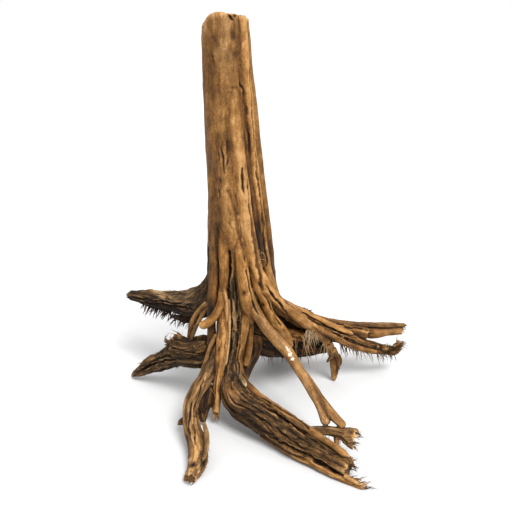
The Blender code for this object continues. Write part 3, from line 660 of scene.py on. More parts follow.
def top_height(x: np.ndarray, y: np.ndarray) -> np.ndarray:
    """Height of the sawn top over the strands' own x and y, with its worn left shoulder.

    Args:
        x: places across the trunk.
        y: places from front to back.

    Returns:
        The height of the cut at each place.
    """
    saw = SAW_CUT[2] - ((x - SAW_CUT[0]) * SAW_NORMAL[0] + (y - SAW_CUT[1]) * SAW_NORMAL[1])
    inward = np.clip((x - SHOULDER[0]) / SHOULDER_WIDTH, 0.0, 1.0)
    worn = SHOULDER_DROP * (1.0 - inward) ** SHOULDER_CURVE
    worn = np.where(inward < SHOULDER_EDGE, SHOULDER_DROP, worn)
    chips = value_noise(np.stack((x, y, np.full_like(x, 0.5)), axis=1) / CHIP_SIZE, SEED) - 0.5
    return saw - worn - CHIP_DEPTH * np.maximum(chips, -0.1)


@dataclass
class Trace:
    """A strand's centre line, walked in small even steps.

    Args:
        centre: a place for each step.
        side: the frame's first direction across the strand.
        up: its second direction across.
        ahead: the direction along the strand.
        radius: the strand's radius at each step.
        arc: the distance walked.
    """

    centre: np.ndarray
    side: np.ndarray
    up: np.ndarray
    ahead: np.ndarray
    radius: np.ndarray
    arc: np.ndarray

    @classmethod
    def through(cls, points: list[tuple[float, float, float, float]], step: float) -> "Trace":
        """Walk a smooth line through a strand's points.

        Args:
            points: (x, y, z, radius) from the thick end to the tip.
            step: distance from one place to the next.

        Returns:
            The trace, with frames that turn as little as they can.
        """
        table = np.array(points)
        knots, radii = table[:, :3], table[:, 3]
        legs = np.diff(knots, axis=0)
        lengths = np.linalg.norm(legs, axis=1, keepdims=True)
        units = legs / lengths
        slopes = np.vstack((units[:1], units[:-1] + units[1:], units[-1:]))
        slopes /= np.linalg.norm(slopes, axis=1, keepdims=True)
        share = np.linspace(0.0, 1.0, 24, endpoint=False)[:, None]
        reach = lengths / 2.5614
        places, widths = [], []
        for i in range(len(legs)):
            out = knots[i] + slopes[i] * reach[i]
            back = knots[i + 1] - slopes[i + 1] * reach[i]
            places.append((1 - share) ** 3 * knots[i] + 3 * (1 - share) ** 2 * share * out
                          + 3 * (1 - share) * share ** 2 * back + share ** 3 * knots[i + 1])
            widths.append(radii[i] + (radii[i + 1] - radii[i]) * share[:, 0])
        places = np.vstack((*places, knots[-1:]))
        widths = np.concatenate((*widths, radii[-1:]))
        walked = np.concatenate(((0.0,), np.cumsum(np.linalg.norm(np.diff(places, axis=0), axis=1))))
        arc = np.linspace(0.0, walked[-1], max(4, round(walked[-1] / step)))
        centre = np.stack([np.interp(arc, walked, places[:, k]) for k in range(3)], axis=1)
        radius = np.interp(arc, walked, widths)
        ahead = np.gradient(centre, axis=0)
        ahead /= np.linalg.norm(ahead, axis=1, keepdims=True)
        side = np.zeros_like(ahead)
        hint = np.array((0.0, -1.0, 0.0)) if abs(ahead[0, 1]) < 0.9 else np.array((1.0, 0.0, 0.0))
        for i, way in enumerate(ahead):
            hint = hint - way * hint.dot(way)
            hint /= np.linalg.norm(hint)
            side[i] = hint
        return cls(centre, side, np.cross(ahead, side), ahead, radius, arc)

    def straighten(self, places: np.ndarray) -> np.ndarray:
        """Where places lie in the strand if it were pulled straight.

        Args:
            places: points in the strand's own space.

        Returns:
            (across, across, along) for each place, in metres.
        """
        stride = 4
        marks = self.centre[::stride]
        near = np.concatenate([((chunk[:, None] - marks[None]) ** 2).sum(2).argmin(1)
                               for chunk in np.array_split(places, 1 + len(places) // 20000)])
        at = near.astype(float) * stride
        gap = self.arc[1]
        last = len(self.arc) - 1.001
        for _ in range(3):
            low, share = self._between(at, last)
            centre, way = self._mix(self.centre, low, share), self._mix(self.ahead, low, share)
            at = np.clip(at + ((places - centre) * way).sum(1) / gap, 0.0, last)
        low, share = self._between(at, last)
        off = places - self._mix(self.centre, low, share)
        side, up = self._mix(self.side, low, share), self._mix(self.up, low, share)
        way = self._mix(self.ahead, low, share)
        return np.stack(((off * side).sum(1), (off * up).sum(1),
                         at * gap + (off * way).sum(1)), axis=1)

    @staticmethod
    def _between(at: np.ndarray, last: float) -> tuple[np.ndarray, np.ndarray]:
        """The step below each fractional step, and the share of the next one."""
        low = np.floor(np.clip(at, 0.0, last)).astype(int)
        return low, (np.clip(at, 0.0, last) - low)[:, None]

    @staticmethod
    def _mix(values: np.ndarray, low: np.ndarray, share: np.ndarray) -> np.ndarray:
        """Values between two steps."""
        return values[low] * (1.0 - share) + values[low + 1] * share


def mesh_from(name: str, places: np.ndarray, faces: np.ndarray) -> bpy.types.Mesh:
    """A mesh whose faces all have as many sides.

    Args:
        name: the mesh's name.
        places: its corners.
        faces: the corner numbers of each face, one row each.

    Returns:
        The mesh.
    """
    mesh = bpy.data.meshes.new(name)
    mesh.vertices.add(len(places))
    mesh.vertices.foreach_set("co", places.astype(np.float32).ravel())
    mesh.loops.add(faces.size)
    mesh.loops.foreach_set("vertex_index", faces.astype(np.int32).ravel())
    mesh.polygons.add(len(faces))
    mesh.polygons.foreach_set("loop_start", np.arange(0, faces.size, faces.shape[1], dtype=np.int32))
    mesh.update(calc_edges=True)
    return mesh


def read(items: Any, what: str, width: int, kind: type = np.float32) -> np.ndarray:
    """One property of many mesh items as an array with width columns.

    Args:
        items: vertices, edges, polygons or an attribute's data.
        what: name of the property.
        width: numbers in each item.
        kind: type of the numbers.

    Returns:
        One row for each item.
    """
    values = np.zeros(len(items) * width, kind)
    items.foreach_get(what, values)
    return values.reshape(-1, width) if width > 1 else values


def evaluated(obj: bpy.types.Object) -> bpy.types.Mesh:
    """The object's mesh with its modifiers applied."""
    return bpy.data.meshes.new_from_object(obj.evaluated_get(bpy.context.evaluated_depsgraph_get()))


@dataclass(frozen=True)
class Web:
    """A place where neighbouring strands have grown together, so that their creases are shallow."""

    middle: tuple[float, float, float]
    reach: tuple[float, float, float]
    share: float = 1.0


WEBS: dict[str, Web] = {
    "front_of_stem": Web((-0.030, -0.055, 0.690), (0.055, 0.045, 0.270)),
    "ridge_foot": Web((0.000, -0.065, 0.460), (0.030, 0.040, 0.060), 0.7),
    "left_shoulder": Web((-0.085, 0.010, 0.300), (0.030, 0.040, 0.060), 0.7),
    "right_fork": Web((0.040, -0.060, 0.350), (0.030, 0.040, 0.050), 0.5),
    "c_split": Web((0.026, -0.070, 0.305), (0.034, 0.035, 0.060), 0.8),
    "stub_joint": Web((-0.036, -0.068, 0.345), (0.020, 0.030, 0.040), 0.7),
    "front_right_ridge": Web((0.090, -0.190, 0.090), (0.110, 0.110, 0.040), 0.5),
    "back_of_stem": Web((-0.020, 0.050, 0.650), (0.080, 0.050, 0.330), 0.4),
}


@dataclass
class RootSkin:
    """The skin of the whole root: every strand swept, fused, grown together and roughened.

    Args:
        step: distance between corners along and round each strand.
        voxel: fineness at which the strands fuse.
        most_faces: triangles that the finished skin may have.
    """

    step: float = 0.0017
    voxel: float = 0.0015
    most_faces: int = 197000
    groove_depth: float = 0.0046
    flute_height: float = 0.0075
    chip_depth: float = 0.0034
    lump_height: float = 0.0030
    ledge_height: float = 0.0020
    fibre_height: float = 0.0010
    web_reach: float = 0.009

    def __post_init__(self) -> None:
        """Walk every strand once."""
        self.names = list(STRANDS)
        self.traces = [Trace.through(STRANDS[name], self.step) for name in self.names]
        self.looks = [LOOKS[name] for name in self.names]
        self.owner = np.zeros(0, int)
        self.walked = np.zeros(0)
        self.radius = np.zeros(0)
        self.torn = np.zeros(0)
        self.tree = kdtree.KDTree(0)
        self.places = self.normals = np.zeros((0, 3))
        self.owners, self.walks = np.zeros(0, int), np.zeros(0)

    def offset(self, index: int) -> np.ndarray:
        """A strand's own place in the noise, so that no two strands look alike."""
        return np.array((index * 0.37, index * 0.73, index * 1.31)) % 3.0

    def sweep(self, index: int) -> tuple[np.ndarray, np.ndarray, np.ndarray, np.ndarray]:
        """One strand as a closed tube.

        Args:
            index: which strand.

        Returns:
            Its corners, its faces, how far along each corner lies, and 1 on a torn end.
        """
        trace, look = self.traces[index], self.looks[index]
        count = int(np.clip(math.tau * trace.radius.max() / self.step, 14, 230))
        turn = np.linspace(0.0, math.tau, count, endpoint=False)
        rim = np.stack((np.cos(turn), np.sin(turn)), axis=1)
        radius, total = trace.radius.copy(), trace.arc[-1]
        left = total - trace.arc
        tip = radius[-1]
        if look.tip is Tip.POINTED:
            radius *= np.clip(left / (2.2 * tip), 0.0, 1.0) ** 0.7
        elif look.tip is not Tip.TORN:
            radius *= np.sqrt(1.0 - (1.0 - np.clip(left / tip, 0.0, 1.0)) ** 2)
        if look.tip is not Tip.SAWN:
            begin = np.clip(trace.arc / radius[0], 0.0, 1.0)
            radius *= np.sqrt(1.0 - (1.0 - begin) ** 2)
        rows, caps = len(radius), 6
        lids = np.linspace(0.0, 1.0, caps, endpoint=False)
        ring = np.concatenate((np.zeros(caps, int), np.arange(rows), np.full(caps, rows - 1)))
        share = np.concatenate((lids, np.ones(rows), lids[::-1]))
        arc = trace.arc[ring]
        flat = np.empty((len(ring), count, 3))
        flat[..., :2] = rim[None] * trace.radius[ring][:, None, None]
        flat[..., 2] = arc[:, None]
        flute = along_grain(flat.reshape(-1, 3) + self.offset(index), 0.024, 0.16, SEED) - 0.5
        flute = flute.reshape(len(ring), count) * self.flute_height * (0.7 + 0.5 * look.rough)
        flute *= np.minimum(radius[ring] / 0.020, 1.0)[:, None]
        reach = (radius[ring][:, None] + flute) * share[:, None]
        slide, torn = np.zeros_like(reach), np.zeros_like(reach)
        if look.tip is Tip.TORN:
            slide, torn = self.tear(flat, rim, arc, share, total, tip, index)
        places = (trace.centre[ring][:, None]
                  + trace.side[ring][:, None] * (rim[None, :, 0] * reach)[..., None]
                  + trace.up[ring][:, None] * (rim[None, :, 1] * reach)[..., None]
                  + trace.ahead[ring][:, None] * slide[..., None])
        first = np.arange(len(ring) - 1)[:, None] * count
        here = np.arange(count)[None]
        after = (here + 1) % count
        quads = np.stack((first + here, first + after, first + count + after,
                          first + count + here), axis=-1)
        return places.reshape(-1, 3), quads.reshape(-1, 4), np.repeat(arc, count), torn.ravel()

    def tear(self, flat: np.ndarray, rim: np.ndarray, arc: np.ndarray, share: np.ndarray,
             total: float, tip: float, index: int) -> tuple[np.ndarray, np.ndarray]:
        """A strand's ragged end, where it broke off.

        Args:
            flat: (across, across, along) of the tube's corners.
            rim: the directions round the tube.
            arc: how far along each ring lies.
            share: how far each ring is drawn in, from 1 to 0 on the lids.
            total: the strand's length.
            tip: its radius at the end.
            index: which strand, for its own pattern.

        Returns:
            How far each corner slides along the strand, and 1 on the end face.
        """
        depth = 1.1 * tip
        around = np.column_stack((rim * tip, np.full(len(rim), index * 0.1)))
        bite = 0.6 * value_noise(around / 0.0045, SEED) + 0.4 * value_noise(around / 0.012, SEED + 9)
        slide = np.minimum(0.0, total - depth * bite[None] - arc[:, None])
        lid = np.arange(len(arc)) >= len(arc) - 6
        hollow = value_noise(flat[..., (0, 1, 1)].reshape(-1, 3) / 0.004, SEED + 5)
        inner = -depth * (0.35 + 0.55 * hollow.reshape(slide.shape))
        blend = share[:, None]
        slide = np.where(lid[:, None], slide * blend + inner * (1.0 - blend), slide)
        return slide, np.repeat(lid[:, None].astype(float), slide.shape[1], axis=1)

    def gather(self) -> bpy.types.Mesh:
        """All strands as overlapping tubes, worn flat at the floor and sawn at the top.

        Returns:
            The mesh, before anything has grown together.
        """
        parts = [self.sweep(index) for index in range(len(self.names))]
        starts = np.cumsum([0] + [len(part[0]) for part in parts[:-1]])
        corners = np.vstack([part[0] for part in parts])
        corners[:, 2] = np.maximum(corners[:, 2], 0.0)
        high = corners[:, 2] > SAWN_ABOVE
        corners[high, 2] = np.minimum(corners[high, 2], top_height(corners[high, 0], corners[high, 1]))
        wood = [self.names.index(SAME_WOOD.get(name, name)) for name in self.names]
        self.owner = np.concatenate([np.full(len(part[0]), i) for i, part in zip(wood, parts)])
        self.walked = np.concatenate([part[2] for part in parts])
        self.radius = np.concatenate([np.interp(part[2], trace.arc, trace.radius)
                                      for part, trace in zip(parts, self.traces)])
        self.torn = np.concatenate([part[3] for part in parts])
        self.tree = kdtree.KDTree(len(corners))
        for number, corner in enumerate(corners):
            self.tree.insert(corner, number)
        self.tree.balance()
        return mesh_from("strands", corners, np.vstack([part[1] + at for part, at in zip(parts, starts)]))

    def fuse(self) -> bpy.types.Mesh:
        """Grow the strands together at full fineness.

        Returns:
            The fused mesh.
        """
        obj = bpy.data.objects.new("strands", self.gather())
        bpy.context.collection.objects.link(obj)
        melt = obj.modifiers.new("fuse", "REMESH")
        melt.mode = "VOXEL"
        melt.voxel_size = self.voxel
        mesh = evaluated(obj)
        bpy.data.objects.remove(obj)
        return mesh

    @staticmethod
    def eased(places: np.ndarray, edges: np.ndarray, rounds: int) -> np.ndarray:
        """Values moved towards the middle of their neighbours, over and over.

        Args:
            places: one row of values for each corner.
            edges: pairs of corner numbers.
            rounds: how many times.

        Returns:
            The eased values.
        """
        count = len(places)
        degree = np.maximum(np.bincount(edges.ravel(), minlength=count), 1)[:, None]
        for _ in range(rounds):
            sums = np.stack([np.bincount(edges[:, 0], places[edges[:, 1], k], count)
                             + np.bincount(edges[:, 1], places[edges[:, 0], k], count)
                             for k in range(places.shape[1])], axis=1)
            places = places + 0.5 * (sums / degree - places)
        return places

    @staticmethod
    def distance_to(line: np.ndarray, places: np.ndarray) -> tuple[np.ndarray, np.ndarray]:
        """Distance from places to a broken line, and how far along it they lie, from 0 to 1.

        Args:
            line: the line's points.
            places: where to measure.

        Returns:
            The distances and the shares of the line's length.
        """
        best = np.full(len(places), np.inf)
        along = np.zeros(len(places))
        legs = np.linalg.norm(np.diff(line, axis=0), axis=1)
        walked = np.concatenate(((0.0,), np.cumsum(legs))) / legs.sum()
        for i, (a, b) in enumerate(zip(line[:-1], line[1:])):
            way = b - a
            share = np.clip((places - a) @ way / way.dot(way), 0.0, 1.0)
            gap = np.linalg.norm(places - a - share[:, None] * way, axis=1)
            nearer = gap < best
            best[nearer] = gap[nearer]
            along[nearer] = (walked[i] + share * (walked[i + 1] - walked[i]))[nearer]
        return best, along

    def grow_together(self, places: np.ndarray, edges: np.ndarray, mesh: bpy.types.Mesh) -> np.ndarray:
        """Fill the creases between strands where they have grown into one.

        Args:
            places: the skin's corners.
            edges: pairs of corners.
            mesh: the mesh, for its outward directions.

        Returns:
            The moved corners.
        """
        weight = np.full(len(places), 0.0)
        for web in WEBS.values():
            off = np.abs((places - np.array(web.middle)) / np.array(web.reach)).max(1)
            weight = np.maximum(weight, web.share * (1.0 - smooth_step(0.75, 1.0, off)))
        inside = np.flatnonzero(weight > 0.0)
        number = np.full(len(places), -1)
        number[inside] = np.arange(len(inside))
        own = number[edges]
        own = own[(own >= 0).all(1)]
        rounds = int((self.web_reach / self.voxel) ** 2)
        for _ in range(2):
            normals = read(mesh.vertex_normals, "vector", 3).astype(float)[inside]
            flat = self.eased(places[inside], own, rounds)
            rise = np.maximum(((flat - places[inside]) * normals).sum(1), 0.0)
            rise = self.eased(rise[:, None], own, 6)[:, 0] * 1.5
            places[inside] += normals * (rise * weight[inside])[:, None]
            mesh.vertices.foreach_set("co", places.astype(np.float32).ravel())
            mesh.update()
        return places

    def grain_of(self, places: np.ndarray, owner: np.ndarray) -> np.ndarray:
        """Where places lie along and across the strand that each belongs to.

        Args:
            places: corners in the strands' own frame.
            owner: the strand's number for each.

        Returns:
            Place across, across and along, shifted apart for each strand.
        """
        grain = np.zeros((len(places), 3))
        for index, trace in enumerate(self.traces):
            mine = np.flatnonzero(owner == index)
            if len(mine):
                grain[mine] = trace.straighten(places[mine]) + self.offset(index)
        return grain

    def relief(self, grain: np.ndarray, rough: np.ndarray, radius: np.ndarray) -> np.ndarray:
        """Grooves, ledges, chips and fibres.

        Args:
            grain: (across, across, along) of each place.
            rough: how deep its grooves are, from 0 to 1.
            radius: the strand's radius there.

        Returns:
            Heights in metres.
        """
        drift = along_grain(grain, 0.035, 0.09, SEED + 7) - 0.5
        bent = grain + np.stack((drift, -drift, np.zeros_like(drift)), axis=1) * 0.012
        wide = 1.0 - np.abs(2.0 * along_grain(bent, 0.0100, 0.20, SEED + 1) - 1.0)
        fine = 1.0 - np.abs(2.0 * along_grain(bent, 0.0050, 0.10, SEED + 2) - 1.0)
        groove = 0.60 * wide ** 7 + 0.50 * fine ** 4
        ledge = smooth_step(0.50, 0.56, along_grain(bent, 0.0085, 0.13, SEED + 8))
        chip = along_grain(bent, 0.009, 0.018, SEED + 3) - 0.5
        fibre = along_grain(grain, 0.0034, 0.040, SEED + 4) - 0.5
        height = (0.25 - groove) * self.groove_depth * rough ** 1.5
        height += (ledge - 0.4) * self.ledge_height * np.maximum(rough - 0.3, 0.0) * 1.6
        height += chip * self.chip_depth * (0.16 + rough ** 1.5)
        height += (along_grain(grain, 0.020, 0.038, SEED + 10) - 0.5) * self.lump_height
        height += fibre * self.fibre_height * (0.25 + rough)
        return height * np.clip(radius / 0.014, 0.25, 1.0)

    def roughen(self, places: np.ndarray, edges: np.ndarray, normals: np.ndarray) -> np.ndarray:
        """Give the grown skin the relief of each strand's wood.

        Args:
            places: corners in the strands' own frame.
            edges: pairs of corner numbers.
            normals: the skin's direction outwards at each corner.

        Returns:
            The moved corners.
        """
        close = self.nearest(places)
        owner = self.owner[close]
        rough = np.array([look.rough for look in self.looks])[owner]
        rough = self.eased(rough[:, None], edges, 8)[:, 0]
        for patch in PATCHES.values():
            if patch.rough:
                rough += patch.rough * self.weight_of(patch, places)
        radius = self.radius[close]
        height = self.relief(self.grain_of(places, owner), np.clip(rough, 0.0, 1.2), radius)
        height = self.eased(height[:, None], edges, 1)[:, 0]
        height *= smooth_step(-0.001, 0.004, places[:, 2])
        return places + normals * height[:, None]

    @staticmethod
    def weight_of(patch: Patch, places: np.ndarray) -> np.ndarray:
        """How much of a patch reaches each place."""
        off = (places - np.array(patch.middle)) / np.array(patch.reach)
        return np.exp(-(off ** 2).sum(1))

    @staticmethod
    def laid_on(line: np.ndarray, places: np.ndarray, tree: kdtree.KDTree) -> np.ndarray:
        """A broken line moved onto the skin's surface, in short legs.

        Args:
            line: the line's points.
            places: the skin's corners.
            tree: the same corners, for searching.

        Returns:
            The points of the new line.
        """
        legs = np.linalg.norm(np.diff(line, axis=0), axis=1)
        walked = np.concatenate(((0.0,), np.cumsum(legs)))
        steps = np.linspace(0.0, walked[-1], max(4, round(walked[-1] / CRACK_LEG)))
        marks = np.stack([np.interp(steps, walked, line[:, k]) for k in range(3)], axis=1)
        laid = places[[tree.find(mark)[1] for mark in marks]]
        for _ in range(4):
            laid[1:-1] = 0.25 * laid[:-2] + 0.5 * laid[1:-1] + 0.25 * laid[2:]
        return laid

    def carve(self, places: np.ndarray, edges: np.ndarray,
              normals: np.ndarray) -> tuple[np.ndarray, np.ndarray]:
        """Cut the named cracks and dents into the skin.

        Args:
            places: the skin's corners.
            edges: pairs of corners.
            normals: its outward directions.

        Returns:
            The moved corners, and the painted shade that each one gets from the cracks.
        """
        crack_shade = np.zeros(len(places))
        depth = np.zeros(len(places))
        tree = kdtree.KDTree(len(places))
        for number, place in enumerate(places):
            tree.insert(place, number)
        tree.balance()
        wobble = value_noise(places / 0.009, SEED + 6)
        bent = places + 0.006 * np.stack([value_noise(places / 0.022, SEED + 30 + axis) - 0.5
                                          for axis in range(3)], axis=1)
        for crack in CRACKS.values():
            line = self.laid_on(np.array(crack.line), places, tree)
            reach = 2.0 * crack.width
            near = np.flatnonzero(np.all((places > line.min(0) - reach)
                                         & (places < line.max(0) + reach), axis=1))
            gap, along = self.distance_to(line, bent[near])
            taper = 1.0 - np.abs(2.0 * along - 1.0) ** 3
            width = crack.width * (0.30 + 0.70 * taper) * (0.60 + 0.8 * wobble[near])
            share = 1.0 - smooth_step(0.15, 1.0, gap / width)
            depth[near] = np.maximum(depth[near], crack.depth * share * (0.3 + 0.7 * taper))
            # painted shade inside the crack, darkest along its middle
            crack_shade[near] = np.maximum(crack_shade[near], crack.crack_shade * share)
        for patch in PATCHES.values():
            if patch.dent:
                depth += patch.dent * self.weight_of(patch, places)
        depth, crack_shade = self.eased(np.column_stack((depth, crack_shade)), edges, 2).T
        return places - normals * depth[:, None], crack_shade

    def finish_fine(self, mesh: bpy.types.Mesh) -> None:
        """Shape the fused skin at full fineness and measure its hollows.

        Args:
            mesh: the fused skin, changed in place.
        """
        places = read(mesh.vertices, "co", 3).astype(float)
        edges = read(mesh.edges, "vertices", 2, np.int32)
        places = self.grow_together(places, edges, mesh)
        normals = read(mesh.vertex_normals, "vector", 3).astype(float)
        places = self.roughen(places, edges, normals)
        places, crack_shade = self.carve(places, edges, normals)
        mesh.vertices.foreach_set("co", places.astype(np.float32).ravel())
        mesh.update()
        normals = read(mesh.vertex_normals, "vector", 3).astype(float)
        # concavity at two scales, which the finish turns into painted shade in hollows
        near = self.eased(places, edges, 3)
        far = self.eased(near, edges, 27)
        small = ((near - places) * normals).sum(1)
        large = ((far - places) * normals).sum(1)
        for name, values in (("small", small / 0.0005), ("large", large / 0.0022), ("crack_shade", crack_shade)):
            mesh.attributes.new(name, "FLOAT", "POINT").data.foreach_set(
                "value", np.clip(values, -1.0, 1.0).astype(np.float32))

    def keep_whole(self, mesh: bpy.types.Mesh) -> None:
        """Take crumbs and sealed bubbles away, so that only the largest body stays.

        Args:
            mesh: the fused skin, which is changed.
        """
        edges = read(mesh.edges, "vertices", 2, np.int32)
        label = np.arange(len(mesh.vertices))
        while True:
            low = np.minimum(label[edges[:, 0]], label[edges[:, 1]])
            new = label.copy()
            np.minimum.at(new, edges[:, 0], low)
            np.minimum.at(new, edges[:, 1], low)
            new = new[new]
            if np.array_equal(new, label):
                break
            label = new
        loose = np.flatnonzero(label != np.bincount(label).argmax())
        work = bmesh.new()
        work.from_mesh(mesh)
        work.verts.ensure_lookup_table()
        bmesh.ops.delete(work, geom=[work.verts[i] for i in loose], context="VERTS")
        work.to_mesh(mesh)
        work.free()

    def thin(self, mesh: bpy.types.Mesh) -> bpy.types.Mesh:
        """Fewer triangles where the skin is smooth.

        Args:
            mesh: the finished skin.

        Returns:
            A new mesh with most_faces triangles at most.
        """
        obj = bpy.data.objects.new("thin", mesh)
        bpy.context.collection.objects.link(obj)
        drop = obj.modifiers.new("thin", "DECIMATE")
        drop.ratio = min(1.0, self.most_faces / (2.0 * len(mesh.polygons)))
        drop.use_collapse_triangulate = True
        thinned = evaluated(obj)
        bpy.data.objects.remove(obj)
        return thinned

    def nearest(self, places: np.ndarray) -> np.ndarray:
        """The number of the swept corner nearest to each place."""
        return np.array([self.tree.find(place)[1] for place in places])

    def dress(self, mesh: bpy.types.Mesh) -> None:
        """Store what the finish reads: the grain, the tone, and the hollows and cracks that it paints shade
        into.

        Args:
            mesh: the thinned skin in the strands' own space.
        """
        places = read(mesh.vertices, "co", 3).astype(float)
        edges = read(mesh.edges, "vertices", 2, np.int32)
        normals = read(mesh.vertex_normals, "vector", 3).astype(float)
        corners = read(mesh.loops, "vertex_index", 1, np.int32)
        middles = places[corners.reshape(-1, 3)].mean(1)
        owner = np.repeat(self.owner[self.nearest(middles)], 3)
        mesh.attributes.new("grain", "FLOAT_VECTOR", "CORNER").data.foreach_set(
            "vector", self.grain_of(places[corners], owner).astype(np.float32).ravel())
        self.tone(mesh, places, edges, normals)
        # concavity at a wide scale; with the others and the cracks' painted shade it goes into hollow
        wide = ((self.eased(places, edges, 45) - places) * normals).sum(1) / 0.006
        small, large, crack_shade = (read(mesh.attributes[name].data, "value", 1)
                              for name in ("small", "large", "crack_shade"))
        hollow = np.column_stack((small, large, np.clip(wide, -1.0, 1.0))) * 0.5 + 0.5
        colour = np.column_stack((hollow, crack_shade)).astype(np.float32)
        mesh.attributes.new("hollow", "FLOAT_COLOR", "POINT").data.foreach_set("color", colour.ravel())
        for name in ("small", "large", "crack_shade"):
            mesh.attributes.remove(mesh.attributes[name])

    def tone(self, mesh: bpy.types.Mesh, places: np.ndarray, edges: np.ndarray,
             normals: np.ndarray) -> None:
        """Store each corner's age, greyness, roughness and torn or sawn end, with the painted light and
        shade of a few patches in the age.

        Args:
            mesh: the thinned skin.
            places: its corners.
            edges: pairs of corners.
            normals: its outward directions.
        """
        close = self.nearest(places)
        owner = self.owner[close]
        self.places, self.normals, self.owners, self.walks = places, normals, owner, self.walked[close]
        share = self.walked[close] / np.array([trace.arc[-1] for trace in self.traces])[owner]
        begin, finish = np.array([look.age for look in self.looks])[owner].T
        tone = np.stack((begin + (finish - begin) * share,
                         np.array([look.grey for look in self.looks])[owner],
                         np.array([look.rough for look in self.looks])[owner]), axis=1)
        tone = self.eased(tone, edges, 4)
        for patch in PATCHES.values():
            weight = self.weight_of(patch, places)
            tone += weight[:, None] * np.array((patch.age, patch.grey, patch.rough))
        sawn = (places[:, 2] > top_height(places[:, 0], places[:, 1]) - 0.0015) & (normals[:, 2] > 0.75)
        sawn &= places[:, 2] > 0.9
        ends = np.maximum(sawn.astype(float), 0.5 * self.torn[close])
        colour = np.column_stack((np.clip(tone, 0.0, 1.2), ends)).astype(np.float32)
        mesh.attributes.new("tone", "FLOAT_COLOR", "POINT").data.foreach_set("color", colour.ravel())

    def build(self) -> bpy.types.Object:
        """The finished skin, in the frame's place.

        Returns:
            The skin as an object without its finish.
        """
        fused = self.fuse()
        log.info("fused: %d faces", len(fused.polygons))
        self.finish_fine(fused)
        log.info("roughened")
        thinned = self.thin(fused)
        self.keep_whole(thinned)
        log.info("thinned")
        self.dress(thinned)
        places = read(thinned.vertices, "co", 3).astype(float) + TRUNK_AXIS
        places = np.clip(places, np.array(SOLID_BOX[0]), np.array(SOLID_BOX[1]))
        thinned.vertices.foreach_set("co", places.astype(np.float32).ravel())
        thinned.shade_smooth()
        thinned.update()
        skin = bpy.data.objects.new("root_skin", thinned)
        bpy.context.scene.collection.objects.link(skin)
        log.info("root_skin: %d triangles", len(thinned.polygons))
        return skin


@dataclass(frozen=True)
class Tuft:
    """Loose fibres that leave the wood between two places.

    Args:
        begin: where the first ones leave it.
        end: where the last ones leave it.
        heading: the way they set off.
        count: how many there are.
        length: the longest one's length.
        width: their radius at the foot.
        age: their wood, as in Look.
        grey: how far they have weathered.
        spread: how far they stray from the heading.
        droop: how far they sag, as a share of their length.
    """

    begin: tuple[float, float, float]
    end: tuple[float, float, float]
    heading: tuple[float, float, float]
    count: int
    length: float
    width: float
    age: float
    grey: float = 0.2
    spread: float = 0.5
    droop: float = 0.4


